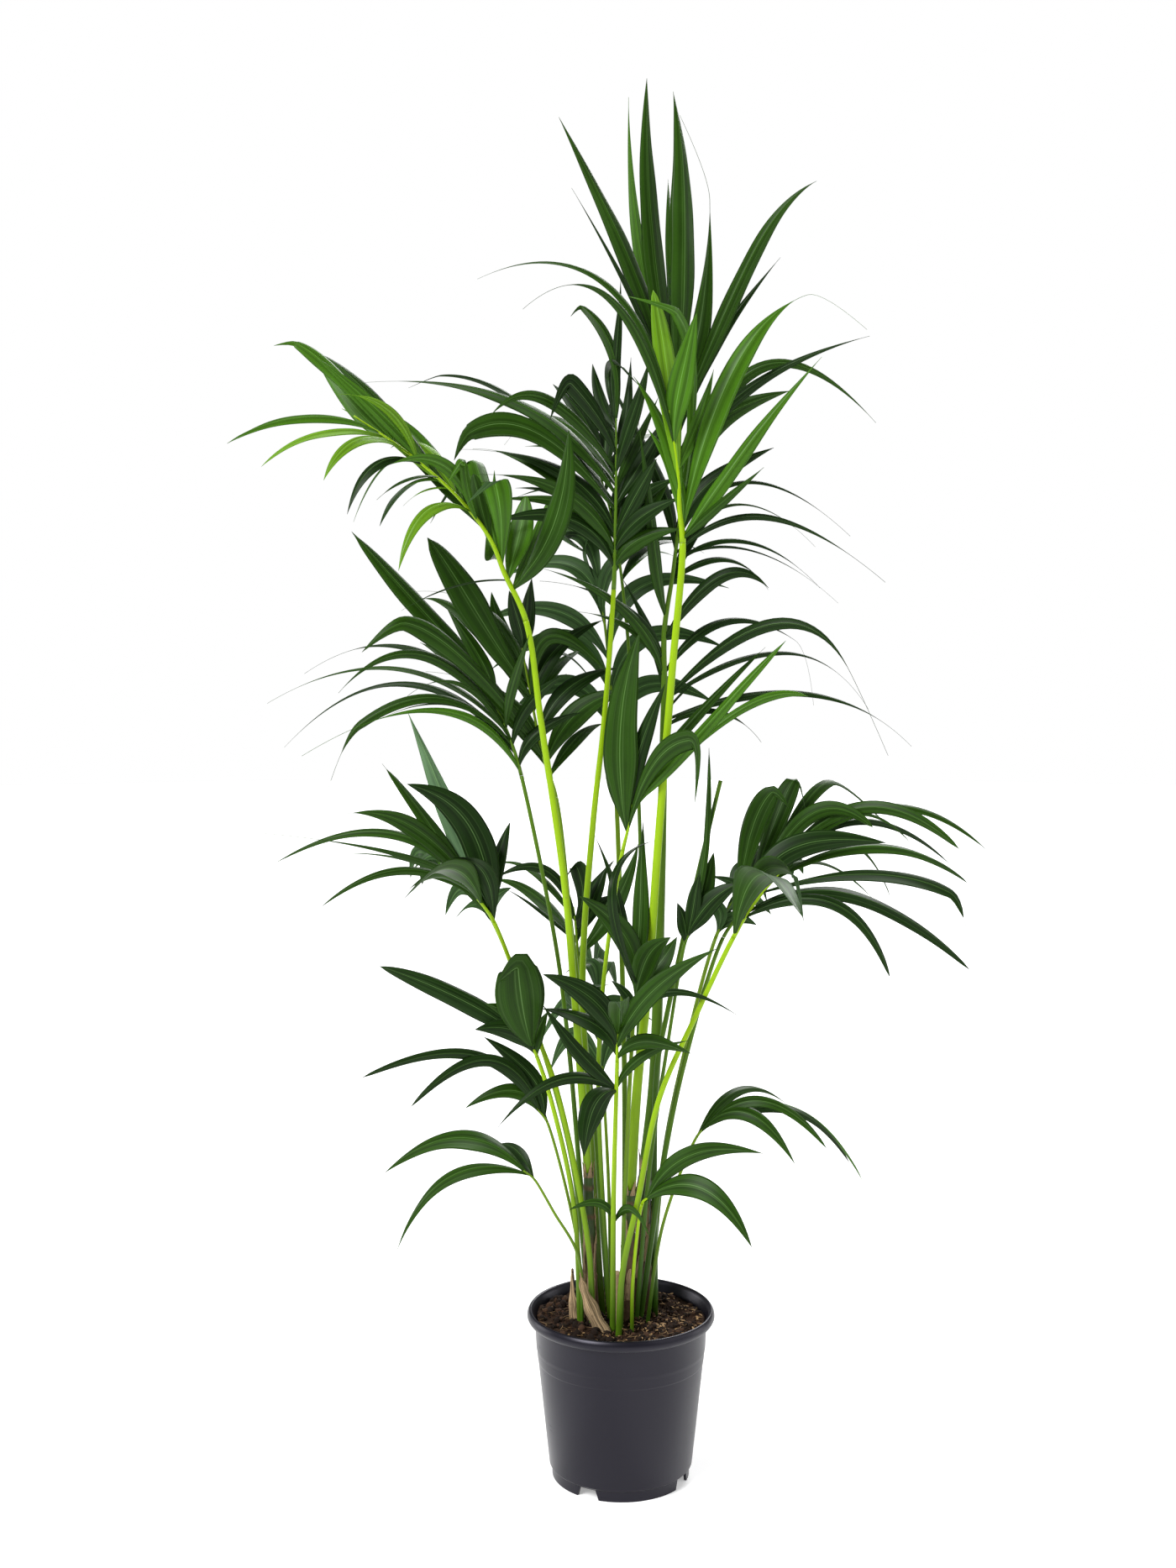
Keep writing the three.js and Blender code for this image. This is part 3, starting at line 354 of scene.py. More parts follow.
            (0.3, -155, 100, 115, 32, 22), (0.66, 96, 34, -25, 66, 22), (1, -15, 72, -25, 3, 24),
            (0.95, 10, 101, 45, 5, 24), (0.6, 90, 111, 35, 24, 26),
        ],
        hangs={2: (-52, -35)},
        looks={
            0: dict(tone=1, widest=0.6, fall=0.6, thread=0.02),
            1: dict(tone=1, widest=0.62, fall=0.5, thread=0.02),
        },
    ),
    dict(
        name="mid_left",
        stem="green",
        light=0.04,
        foot=(-36, 12, START),
        stalk=[(-54, 22, 400), (-66, 26, 538), (-82, 30, 670), (-127, 34, 895)],
        rib=[(-139, 36, 936), (-152, 38, 968), (-162, 40, 988)],
        radii=(3.5, 2.5),
        face=(0, -1, 0.4),
        leaflets=[
            (0.04, -263, 23, -90, 68, 14, 0.32), (0.28, -308, 4, 80, 86, 14, 0.44),
            (0.4, -192, 25, -20, 46, 14, 0.5), (0.56, -334, 35, 150, 66, 11, 0.44),
            (0.7, -195, 41, -110, 64, 17, 0.64), (0.76, -258, 58, 40, 62, 15, 0.54),
            (1, -62, 121, 30, 10, 22), (0.64, 34, 116, -80, 10, 16),
            (0.4, 70, 90, 10, 16, 18), (0.1, 80, 69, 50, 16, 18),
        ],
        more=[
            (0.46, -128, 50, -140, 46, 9, 0.62), (0.36, -180, 33, 110, 38, 9, 0.42),
        ],
        hangs={2: (-38, -78)},
    ),
    dict(
        name="centre_high",
        stem="bright",
        light=0.12,
        foot=(-14, -14, START),
        stalk=[(-29, -18, 505), (-24, -22, 624), (-10, -24, 740), (1, -28, 805)],
        rib=[(8, -31, 835), (14, -34, 870)],
        radii=(3, 2.5),
        face=(0, -1, 0.1),
        leaflets=[
            (0.36, 15, 248, 5, 16, 46, 0.46), (0.44, 73, 112, -60, 20, 27, 0.7),
            (0.78, 220, 140, 20, 34, 13, 0.8), (0.88, 183, 202, -40, 0, 13, 0.48),
            (0.9, 169, 195, 60, 10, 18), (0.44, -10, 193, 5, -18, 27), (0.9, 39, 150, -10, 8, 24),
        ],
        hangs={1: (6, -77)},
        looks={
            2: dict(tone=2, thread=0.02, widest=0.7, fall=0.6), 4: dict(tone=1, thread=0.03, fall=0.55),
            3: dict(tone=2, thread=0.02, fall=0.5, width=17),
        },
    ),
    dict(
        name="centre_mid",
        stem="deep",
        light=0.05,
        foot=(-1, -40, START),
        stalk=[(5, -40, 400), (15, -42, 604)],
        rib=[(17, -43, 622), (19, -44, 646)],
        radii=(3, 2.5),
        face=(0, -1, 0.2),
        leaflets=[
            (0.66, -70, 125, -45, 24, 30, 0.42), (0.94, 50, 56, 60, -6, 28, 0.44),
            (1, 10, 195, 15, 4, 24), (0.5, 40, 85, -30, 16, 32), (0.7, -52, 188, 40, 8, 20),
            (0, -28, 38, 10, 5, 14),
        ],
        more=[
            (0.88, 27, 172, 90, 122, 14, 0.5),
        ],
    ),
    dict(
        name="centre_front",
        stem="bright",
        light=0.08,
        foot=(-11, -42, START),
        stalk=[(-10, -46, 380), (-6, -52, 545)],
        rib=[(-6, -54, 562), (-5, -56, 582)],
        radii=(3.8, 2.5),
        face=(0, -1, 0.3),
        looks={8: dict(tone=0), 9: dict(tone=1), 10: dict(tone=1), 11: dict(tone=1)},
        leaflets=[
            (0.6, -91, 94, -30, 18, 32), (1, -1, 66, -262, 34, 30), (0.5, 114, 142, -115, 18, 28),
            (0.8, 153, 28, -20, 48, 13), (0.1, 87, 24, -80, 18, 20), (0.2, -94, 52, 40, 18, 22),
            (-1.07, -147, -33, -55, 34, 17), (-1.05, -40, -66, -62, 28, 33, 0.5),
            (-1, -91, 112, -30, -6, 23), (-0.95, 87, 68, -40, 14, 14),
            (-5.9, -58, 22, -14, 18, 11), (-5.8, 42, -4, -34, 24, 12),
        ],
    ),
    dict(
        name="right_small",
        stem="green",
        light=0.0,
        foot=(19, -13, START),
        stalk=[(36, -12, 400), (59, -8, 560), (80, -13, 688)],
        rib=[(84, -15, 698), (88, -17, 717)],
        radii=(3, 2),
        face=(0, -1, 0.2),
        leaflets=[
            (0.22, 15, 82, -10, 0, 21, 0.46), (0.92, 38, 175, 40, 4, 10, 0.46),
            (0.5, 31, 98, 15, -5, 26), (0.3, 67, 71, -20, 10, 28), (0, -10, 48, 10, 4, 18),
            (1, 22, 216, 15, -8, 10),
        ],
        looks={5: dict(thread=0.02, widest=0.5, fall=0.6)},
    ),
    dict(
        name="lower_left",
        stem="bright",
        light=0.05,
        foot=(-36, -33, START),
        stalk=[(-42, -32, 310), (-82, -24, 505), (-105, -22, 570), (-158, -48, 719)],
        rib=[(-168, -56, 737), (-186, -64, 760), (-200, -70, 774)],
        radii=(4, 2.5),
        face=(-0.2, -0.9, 0.6),
        leaflets=[
            (0, -111, 256, 60, 0, 32, 0.5), (0, -104, 171, -15, 36, 41, 0.56),
            (0.1, -135, 187, 20, 2, 25), (0.24, -165, 126, -90, 34, 26, 0.64),
            (0.42, -268, 39, 60, 68, 16), (0.48, -250, 95, -120, 24, 11, 0.2),
            (0.52, -191, -10, -40, 42, 15, 0.44), (0.52, -75, 26, -150, 28, 19, 0.48),
            (0.4, -72, 33, -196, 44, 32), (0.1, 21, 112, 40, 10, 24), (0, -40, 90, -110, 30, 26),
        ],
        more=[
            (0.38, -278, 33, 130, 42, 8, 0.3), (0.18, -94, 42, 110, 20, 19, 0.62),
        ],
        looks={
            0: dict(tone=UNDERSIDE + 1), 2: dict(thread=0.04, fall=0.5), 3: dict(thread=0.06, widest=0.5),
            4: dict(thread=0.04, fall=0.6), 6: dict(tone=1, thread=0.03, fall=0.7, width=12),
            7: dict(thread=0.05),
        },
    ),
    dict(
        name="left_oval",
        stem="bright",
        light=0.05,
        foot=(-52, -25, START),
        stalk=[(-60, -26, 357), (-89, -30, 494), (-106, -34, 548)],
        rib=[(-109, -36, 556), (-117, -38, 568)],
        radii=(3.5, 2.5),
        face=(-0.2, -1, 0.2),
        leaflets=[
            (0.8, -197, 95, 25, 12, 28), (0.6, -16, 106, -40, -8, 62), (0.1, -75, 36, -20, 16, 28),
            (0, 14, 56, 20, 5, 18), (0.4, -58, 67, 25, 14, 24),
        ],
        hangs={1: (-26, -16)},
        looks={0: dict(thread=0.04, widest=0.5, fall=0.55)},
    ),
    dict(
        name="low_arch_left",
        stem="deep",
        light=0.12,
        foot=(-48, 6, START),
        stalk=[(-56, 6, 299), (-94, 0, 456)],
        rib=[(-100, -2, 466), (-108, -4, 476)],
        radii=(2.5, 1.8),
        face=(-0.1, -0.8, 0.6),
        leaflets=[
            (0.8, -224, 55, -70, 54, 16), (0.5, -166, 18, -55, 68, 18), (0.3, -77, 100, 15, 18, 22),
            (0, -103, 20, -30, 32, 20),
        ],
        looks={0: dict(thread=0.03, fall=0.5), 1: dict(thread=0.03, fall=0.55)},
    ),
    dict(
        name="low_left",
        stem="deep",
        light=0.0,
        foot=(-49, -34, START),
        stalk=[(-54, -38, 294), (-85, -46, 354), (-108, -52, 396)],
        rib=[(-114, -55, 403), (-122, -59, 410)],
        radii=(2.2, 1.6),
        face=(-0.3, -0.6, 0.7),
        leaflets=[(0.8, -183, -18, 60, 42, 30), (0.5, -165, -97, 0, 46, 26), (0.2, -50, 16, 90, 16, 18)],
        looks={0: dict(tone=1), 1: dict(tone=1)},
    ),
    dict(
        name="lower_right",
        stem="bright",
        light=0.05,
        foot=(-4, -54, START),
        stalk=[(1, -56, 280), (20, -57, 372), (46, -58, 500), (91, -60, 605), (136, -64, 702)],
        rib=[(154, -66, 734), (176, -68, 764), (200, -71, 792)],
        radii=(4, 3),
        face=(0.1, -0.9, 0.5),
        leaflets=[
            (0.18, 49, 74, -90, 28, 33, 0.64), (0.24, 171, -72, -60, 60, 18, 0.46),
            (0.32, 288, -86, 30, 52, 25, 0.32), (0.6, 205, 11, -110, 24, 19, 0.64),
            (0.42, 160, 78, -10, 40, 33, 0.32), (0.78, 257, -16, 60, 44, 16, 0.54),
            (0.66, 176, -35, 120, 72, 17, 0.52), (0, 55, 56, -236, 66, 44),
        ],
        hangs={0: (14, -59), 3: (16, -39)},
        looks={
            1: dict(thread=0.03, fall=0.5), 2: dict(thread=0.03, widest=0.5, fall=0.5),
            3: dict(thread=0.03, fall=0.5), 5: dict(thread=0.03, widest=0.5, fall=0.5, width=18),
            6: dict(thread=0.03, widest=0.5, fall=0.5, width=19),
        },
    ),
    dict(
        name="lower_right_back",
        stem="green",
        light=0.02,
        foot=(24, 0, START),
        stalk=[(55, 2, 408), (81, 8, 531), (130, 16, 690)],
        rib=[(154, 20, 722), (180, 26, 752), (206, 32, 778)],
        radii=(4, 2.5),
        face=(0.1, -0.8, 0.6),
        leaflets=[
            (0.26, 40, 160, -10, 10, 32, 0.8), (0.34, 70, 162, 50, 4, 30, 0.8),
            (0.5, 110, 143, 100, 14, 19, 0.78), (0.58, 142, 86, -60, 58, 23, 0.8),
            (0.74, 231, 46, -110, 80, 20, 0.56), (0.84, 286, 24, 10, 78, 14, 0.5),
            (0.88, 258, -8, 110, 68, 16, 0.44), (0.4, 190, -13, 130, 56, 16), (0.2, 92, 98, 110, 30, 24),
        ],
        more=[
            (0.84, 197, 29, 60, 62, 11, 0.64),
        ],
        hangs={0: (22, -19), 1: (13, -33), 2: (92, -72)},
        looks={
            2: dict(thread=0.03, widest=0.5, fall=0.6), 3: dict(thread=0.03, fall=0.5),
            4: dict(thread=0.03, widest=0.5, fall=0.5), 5: dict(thread=0.05, widest=0.5, fall=0.6),
            6: dict(thread=0.05, widest=0.5, fall=0.6), 7: dict(thread=0.05, fall=0.6),
            9: dict(thread=0.05, fall=0.6),
        },
    ),
    dict(
        name="low_right",
        stem="deep",
        light=0.02,
        foot=(33, -16, START),
        stalk=[(54, -12, 330), (97, -6, 440)],
        rib=[(105, -5, 448), (117, -3, 455)],
        radii=(2.5, 1.8),
        face=(0.2, -0.7, 0.7),
        leaflets=[
            (0.5, 153, -20, -45, 49, 17), (0.8, 188, -66, 35, 48, 18), (1, 204, -98, 45, 55, 20),
            (0.1, 126, 7, 110, 40, 18), (0.3, 113, -27, -45, 40, 20),
        ],
        looks={
            0: dict(thread=0.03, fall=0.55), 1: dict(thread=0.03, fall=0.55), 2: dict(thread=0.03, fall=0.55),
        },
    ),
    dict(
        name="front_right_low",
        stem="bright",
        light=0.0,
        foot=(13, -46, START),
        stalk=[(14, -50, 266), (25, -60, 368)],
        rib=[(29, -64, 375), (37, -68, 380)],
        radii=(2.5, 2),
        face=(0.2, -0.7, 0.6),
        leaflets=[(0.7, 139, 65, -30, 30, 24), (0.2, 127, -31, -80, 46, 28)],
        looks={0: dict(tone=1), 1: dict(tone=1)},
    ),
    dict(
        name="small_back_left",
        stem="deep",
        light=0.03,
        foot=(-28, 52, START),
        stalk=[(-41, 60, 430), (-55, 66, 656)],
        rib=[(-58, 68, 696), (-61, 70, 722)],
        radii=(3, 2),
        face=(0, -1, 0.2),
        leaflets=[
            (0.74, -115, 64, 60, 26, 11, 0.66), (0.82, -106, 49, -10, 38, 15, 0.58),
            (0.32, -116, 66, 110, 18, 19, 0.64), (0.74, 3, 71, 0, -10, 26),
            (0.48, 42, 86, 20, -2, 20, 0.46), (0.3, 60, 57, 45, 16, 20), (0.4, 50, 91, 50, 12, 20),
        ],
        more=[
            (0.28, -111, 72, 30, 8, 7, 0.6), (0, 78, 146, 24, -12, 25, 0.5),
        ],
        hangs={3: (-16, -15)},
    ),
    dict(
        name="thin_back",
        stem="green",
        light=0.03,
        foot=(10, 40, START),
        stalk=[(23, 48, 550), (25, 54, 815), (10, 62, 1060), (2, 68, 1140)],
        rib=[(-4, 74, 1184), (-14, 82, 1236), (-28, 92, 1288)],
        radii=(3, 2),
        fill=True,
        face=(0, -0.6, 0.7),
        leaflets=[
            (0.2, 98, 97, 30, 24, 22), (0.5, 87, 113, 45, 22, 24), (0.9, 20, 130, 80, 10, 24),
            (1, -60, 118, 45, 14, 24), (0.7, -112, 87, 115, 26, 24), (0.4, -131, 63, 135, 32, 24),
            (0.1, -112, 44, 120, 32, 22), (0, 113, 43, 130, 32, 20), (0.8, 80, 90, 120, 26, 22),
        ],
    ),
    dict(
        name="back_tall",
        stem="deep",
        light=0.1,
        foot=(6, 64, START),
        stalk=[(6, 86, 500), (-2, 122, 800), (-8, 150, 940)],
        rib=[(-12, 164, 1010), (-18, 182, 1080), (-28, 196, 1144), (-40, 208, 1188)],
        radii=(4, 2.8),
        face=(0, 0.5, 0.8),
        feather=dict(pairs=6, length=240, spread=0.9, ahead=0.4, drop=30, arch=46, width=26),
    ),
    dict(
        name="back_right",
        stem="deep",
        light=0.1,
        foot=(38, 44, START),
        stalk=[(58, 60, 400), (90, 100, 540), (130, 140, 672)],
        rib=[(158, 164, 722), (188, 192, 752), (220, 216, 762)],
        radii=(3.8, 2.5),
        face=(0.4, 0.6, 0.8),
        feather=dict(pairs=6, length=100, spread=0.7, ahead=0.5, drop=2, arch=16, width=20),
    ),
    dict(
        name="back_left",
        stem="deep",
        light=0.1,
        foot=(-40, 40, START),
        stalk=[(-62, 70, 380), (-104, 110, 530), (-168, 150, 686)],
        rib=[(-192, 168, 722), (-220, 192, 748), (-250, 214, 756)],
        radii=(3.8, 2.5),
        face=(-0.4, 0.6, 0.8),
        feather=dict(pairs=6, length=100, spread=0.7, ahead=0.5, drop=2, arch=16, width=20),
    ),
    dict(
        name="back_low",
        stem="deep",
        light=0.1,
        foot=(-12, 66, START),
        stalk=[(-14, 104, 330), (-22, 160, 480)],
        rib=[(-26, 188, 535), (-30, 218, 572), (-34, 246, 592)],
        radii=(3, 2),
        face=(0, 0.6, 0.8),
        feather=dict(pairs=5, length=160, spread=0.7, ahead=0.45, drop=40, arch=42, width=24),
    ),
]


class Signal:
    """An output of a node tree. Python's operators on it add the Math nodes of the same sum."""

    def __init__(self, finish, socket):
        self.finish = finish
        self.socket = socket

    def math(self, operation, first, second=0.0):
        return self.finish.node("ShaderNodeMath", {"operation": operation}, {0: first, 1: second})

    def __add__(self, other):
        return self.math("ADD", self, other)

    def __sub__(self, other):
        return self.math("SUBTRACT", self, other)

    def __mul__(self, other):
        return self.math("MULTIPLY", self, other)

    def __rsub__(self, other):
        return self.math("SUBTRACT", other, self)

    def __abs__(self):
        return self.math("ABSOLUTE", self)

    __radd__ = __add__

    def clamped(self):
        return self.finish.node("ShaderNodeClamp", {}, {0: self})

    def above(self, start, gain):
        """How far the signal is above a start, from 0 to 1."""
        return ((self - start) * gain).clamped()

    def stripe(self, narrow, top=1.0):
        """A soft stripe where the signal passes a half."""
        return (top - abs(self - 0.5) * narrow).clamped()

    def stripes(self, narrow, top=1.0):
        """A soft stripe in every whole step of the signal."""
        return self.math("FRACT", self).stripe(narrow, top)


class Finish:
    """A material whose nodes are added one by one."""

    def __init__(self, name, base, roughness, **constants):
        self.material = bpy.data.materials.new(name)
        self.material.use_nodes = True
        self.material.diffuse_color = (*base, 1.0)
        self.tree = self.material.node_tree
        self.shader = self.tree.nodes["Principled BSDF"]
        self.shader.inputs["Base Color"].default_value = (*base, 1.0)
        self.shader.inputs["Roughness"].default_value = roughness
        for name_of_socket, value in constants.items():
            self.shader.inputs[name_of_socket.replace("_", " ")].default_value = value

    def node(self, kind, settings, sockets, output=0):
        """Adds a node, sets it up, feeds its sockets, and gives one of its outputs."""
        made = self.tree.nodes.new(kind)
        for name, value in settings.items():
            setattr(made, name, value)
        for key, value in sockets.items():
            if isinstance(value, Signal):
                self.tree.links.new(value.socket, made.inputs[key])
            else:
                made.inputs[key].default_value = value
        return Signal(self, made.outputs[output])

    def blend(self, factor, first, second):
        """A colour between two colours."""
        colours = [c if isinstance(c, Signal) else (*c, 1.0) for c in (first, second)]
        sockets = {0: factor, 6: colours[0], 7: colours[1]}
        return self.node("ShaderNodeMix", {"data_type": "RGBA"}, sockets, 2)

    def place(self):
        """Where a point is on the object, in metres."""
        return self.node("ShaderNodeTexCoord", {}, {}, 3)

    def blade(self):
        """Where a point is on a leaflet, a stalk or a sheath: across it and along it."""
        return self.node("ShaderNodeUVMap", {"uv_map": "blade"}, {})

    def axis(self, vector, number):
        """One of the three numbers of a vector."""
        return self.node("ShaderNodeSeparateXYZ", {}, {0: vector}, number)

    def noise(self, vector, scale, detail, roughness=0.55):
        sockets = {"Vector": vector, "Scale": scale, "Detail": detail, "Roughness": roughness}
        return self.node("ShaderNodeTexNoise", {}, sockets)

    def streaks(self, vector, scales, detail, roughness=0.55):
        """Noise with a scale of its own for each axis."""
        stretched = self.node("ShaderNodeMapping", {}, {0: vector, 3: scales})
        return self.noise(stretched, 1.0, detail, roughness)

    def feed(self, socket, value):
        self.tree.links.new(value.socket, self.shader.inputs[socket])

    def bump(self, height, strength, distance):
        sockets = {"Height": height, "Strength": strength, "Distance": distance}
        self.feed("Normal", self.node("ShaderNodeBump", {}, sockets))


def tint(colour, factor):
    """A colour made lighter, or with a factor under 1, darker."""
    return [min(1.0, part * factor) for part in colour]


def leaf_finish(name, base, vein, veins, gloss):
    """A leaf blade: pale midrib and parallel veins, painted shade in patches, painted light in streaks along
    it, on its pleats and at its edges, and a satin skin.
    """
    made = Finish(name, base, 0.36, Specular_IOR_Level=gloss)
    uv = made.blade()
    across = made.axis(uv, 0)
    midrib = across.stripe(56.0)
    lines = (across * veins).stripes(7.0)
    # Where the pleats beside the midrib lie, for a painted highlight along them.
    pleats = (across * (veins * 0.5)).stripes(2.0)
    uneven = made.streaks(uv, (veins, 0.6, 1.0), 1.0)
    fine = made.streaks(uv, (70.0, 1.2, 1.0), 2.0)
    patches = made.noise(made.place(), 16.0, 3.0)
    # The leaf's edges, where a painted rim highlight lies.
    edge = abs(across - 0.5).above(0.462, 30.0)
    # Painted light and shade: streaks along the leaf, lighter and darker, as light falls across the blade.
    light_bands = made.streaks(uv, (5.0, 0.5, 1.0), 1.0).above(0.38, 3.4)
    light_banded = made.blend(light_bands, tint(base, 0.5), tint(base, 1.3))
    # Painted shade in patches over the leaf; the same patches also vary its roughness.
    shade = made.blend((patches - 0.35) * 1.8, tint(base, 0.45), light_banded)
    # Painted highlight: the leaf lighter along its pleats, as though light caught the folds.
    pleat_highlit = made.blend(pleats * 0.4, shade, tint(base, 1.6))
    striped = made.blend(fine.above(0.46, 1.3), pleat_highlit, tint(base, 1.9))
    veined = made.blend((lines * (uneven - 0.38) * 0.8).clamped(), striped, vein)
    # Painted rim highlight: the edges lighter, as though lit from behind.
    rim_lit = made.blend(edge * 0.4, veined, tint(base, 2.6))
    made.feed("Base Color", made.blend(midrib * (uneven * 0.9), rim_lit, tint(vein, 1.5)))
    made.feed("Roughness", 0.28 + patches * 0.16 + fine * 0.08)
    made.bump(lines * 0.4 + fine * 0.6, 0.2, 0.0004)
    return made.material


def stalk_finish(name, base, foot):
    """A smooth stalk: fine lengthwise streaks, faint scars, and painted shade that darkens its foot."""
    made = Finish(name, base, 0.34, Specular_IOR_Level=0.22)
    uv = made.blade()
    length = made.axis(uv, 1)
    streaks = made.streaks(uv, (40.0, 6.0, 1.0), 3.0)
    scars = made.noise(made.place(), 160.0, 2.0).above(0.66, 8.0)
    # Painted shade among the stems: the stalk darker towards its foot.
    low = (1.1 - length * 1.7).clamped()
    tinted = made.blend((streaks - 0.35) * 0.9, base, tint(base, 0.72))
    shaded_foot = made.blend(low * 0.85, tinted, foot)
    made.feed("Base Color", made.blend(scars * 0.35, shaded_foot, (0.16, 0.13, 0.04)))
    made.feed("Roughness", 0.3 + streaks * 0.18)
    made.bump(streaks, 0.2, 0.0004)
    return made.material


def cane_finish(name, green, brown):
    """An old cane: green between its ring scars, brown and rough at the foot."""
    made = Finish(name, green, 0.6, Specular_IOR_Level=0.3)
    length = made.axis(made.blade(), 1)
    place = made.place()
    height = made.axis(place, 2)
    bark = made.streaks(place, (150.0, 150.0, 30.0), 5.0, 0.7)
    patches = made.noise(place, 45.0, 3.0)
    low = ((0.335 - height) * 22.0 + (patches - 0.5) * 3.0).clamped()
    skin = made.blend((bark - 0.35) * 0.8, green, tint(green, 0.5))
    dry = made.blend((bark - 0.3) * 1.8, tint(brown, 0.35), tint(brown, 1.5))
    ring = (length * 5.0 + (patches - 0.5) * 0.25).stripes(9.0, 1.2)
    papery = (low + ring * (bark * 1.6)).clamped()
    made.feed("Base Color", made.blend(papery, skin, dry))
    made.feed("Roughness", 0.42 + papery * 0.4)
    made.bump(bark, 0.6, 0.001)
    return made.material


def dry_finish(name, base):
    """Dry sheath: long fibres from pale straw to brown."""
    made = Finish(name, base, 0.85, Specular_IOR_Level=0.2)
    fibres = made.streaks(made.blade(), (17.0, 1.6, 1.0), 5.0, 0.7)
    patches = made.noise(made.place(), 60.0, 3.0)
    tone = made.blend(fibres.above(0.4, 4.0), tint(base, 0.18), tint(base, 1.35))
    made.feed("Base Color", made.blend(patches.above(0.55, 6.0), tone, tint(base, 0.22)))
    made.bump(fibres, 0.7, 0.001)
    return made.material


def soil_finish(name, base, light):
    """Peat: dark crumbs and lighter fibres."""
    made = Finish(name, base, 0.95, Specular_IOR_Level=0.15)
    place = made.place()
    crumbs = made.noise(place, 420.0, 5.0, 0.7)
    patches = made.noise(place, 70.0, 4.0)
    tone = made.blend((crumbs - 0.3) * 1.9, tint(base, 0.4), tint(base, 1.9))
    made.feed("Base Color", made.blend(patches.above(0.56, 4.0) * 0.5, tone, light))
    made.bump(crumbs, 0.9, 0.0015)
    return made.material


def pot_finish(name, base):
    """Moulded plastic: an even charcoal with faint scuffs and a fine grain."""
    made = Finish(name, base, 0.42, Specular_IOR_Level=0.3, Specular_Tint=(0.88, 0.85, 1.0, 1.0))
    place = made.place()
    grain = made.noise(place, 900.0, 2.0)
    clouds = made.streaks(place, (9.0, 9.0, 16.0), 4.0)
    rings = made.streaks(place, (2.0, 2.0, 260.0), 3.0)
    scuffs = made.streaks(place, (40.0, 40.0, 160.0), 5.0, 0.7).above(0.62, 7.0)
    tone = made.blend((clouds - 0.3) * 1.2, tint(base, 0.86), tint(base, 1.16))
    made.feed("Base Color", made.blend(scuffs * 0.25, tone, tint(base, 2.0)))
    made.feed("Roughness", 0.27 + clouds * 0.12 + scuffs * 0.2)
    made.bump(grain * 0.5 + rings * 0.5, 0.12, 0.0005)
    return made.material


def plain_finish(name, base, roughness):
    """One plain colour with a faint mottle, for small crumbs and chips."""
    made = Finish(name, base, roughness, Specular_IOR_Level=0.25)
    mottle = made.noise(made.place(), 500.0, 3.0)
    made.feed("Base Color", made.blend((mottle - 0.3) * 1.6, tint(base, 0.6), base))
    return made.material


class Shape:
    """Points, faces, places on the finish, and the finish number of each face, joined from many parts."""

    def __init__(self):
        self.points = []
        self.places = []
        self.quads = []
        self.tones = []
        self.count = 0

    def add(self, points, places, quads, tone=0):
        """Adds a part. A face with its last two corners alike is a triangle."""
        self.points.append(np.asarray(points, float))
        self.places.append(np.asarray(places, float))
        self.quads.append(np.asarray(quads, int) + self.count)
        self.tones.append(np.full(len(quads), tone))
        self.count += len(points)

    def build(self, name, materials, sharp=False):
        """Makes the mesh object, in metres, with its UV map."""
        points = np.concatenate(self.points) * MM
        places = np.concatenate(self.places)
        quads = np.concatenate(self.quads)
        tones = np.concatenate(self.tones)
        corners = np.where(quads[:, 2] == quads[:, 3], 3, 4)
        keep = np.arange(4)[None, :] < corners[:, None]
        loops = quads[keep]
        mesh = bpy.data.meshes.new(name)
        mesh.vertices.add(len(points))
        mesh.vertices.foreach_set("co", points.astype(np.float32).ravel())
        mesh.loops.add(len(loops))
        mesh.loops.foreach_set("vertex_index", loops.astype(np.int32))
        mesh.polygons.add(len(quads))
        starts = np.concatenate([[0], np.cumsum(corners)[:-1]])
        mesh.polygons.foreach_set("loop_start", starts.astype(np.int32))
        for material in materials:
            mesh.materials.append(material)
        mesh.polygons.foreach_set("material_index", tones.astype(np.int32))
        mesh.update(calc_edges=True)
        layer = mesh.uv_layers.new(name="blade")
        layer.data.foreach_set("uv", places[loops].astype(np.float32).ravel())
        mesh.polygons.foreach_set("use_smooth", np.full(len(quads), True))
        if sharp:
            mesh.set_sharp_from_angle(angle=SHARP)
        mesh.validate()
        made = bpy.data.objects.new(name, mesh)
        bpy.context.scene.collection.objects.link(made)
        return made


def finish_piece(made, slot, *nodes):
    """Sets the piece on the plant's body, and hides the nodes that it stands for."""
    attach(made, "root")
    if nodes:
        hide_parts(*nodes)
    return made


def unit(vector):
    return vector / np.linalg.norm(vector, axis=-1, keepdims=True)


def turned(vectors, axis, angles):
    """Vectors turned about one axis, or each about its own, by angles in radians."""
    angles = np.asarray(angles)[..., None]
    along = (vectors * axis).sum(-1, keepdims=True) * axis
    sideways = np.cross(axis, vectors)
    return vectors * np.cos(angles) + sideways * np.sin(angles) + along * (1 - np.cos(angles))


def offset(points, directions, amounts):
    """Rows of points, moved along each row's direction by an amount for each point."""
    if points.ndim == 2:
        points = points[:, None, :]
    return points + directions[:, None, :] * amounts[..., None]


def lathe(profile, angles):
    """Rings of points about the upright axis, one for each radius and height of a profile."""
    radii, heights = np.array(profile, float).T[..., None]
    return np.stack(np.broadcast_arrays(radii * np.cos(angles), radii * np.sin(angles), heights), -1)


def ring_quads(rings, sides):
    """The faces between neighbouring rings of points."""
    r, k = np.meshgrid(np.arange(rings - 1), np.arange(sides), indexing="ij")
    a = r * sides + k
    b = r * sides + (k + 1) % sides
    return np.stack([a, b, b + sides, a + sides], -1).reshape(-1, 4)


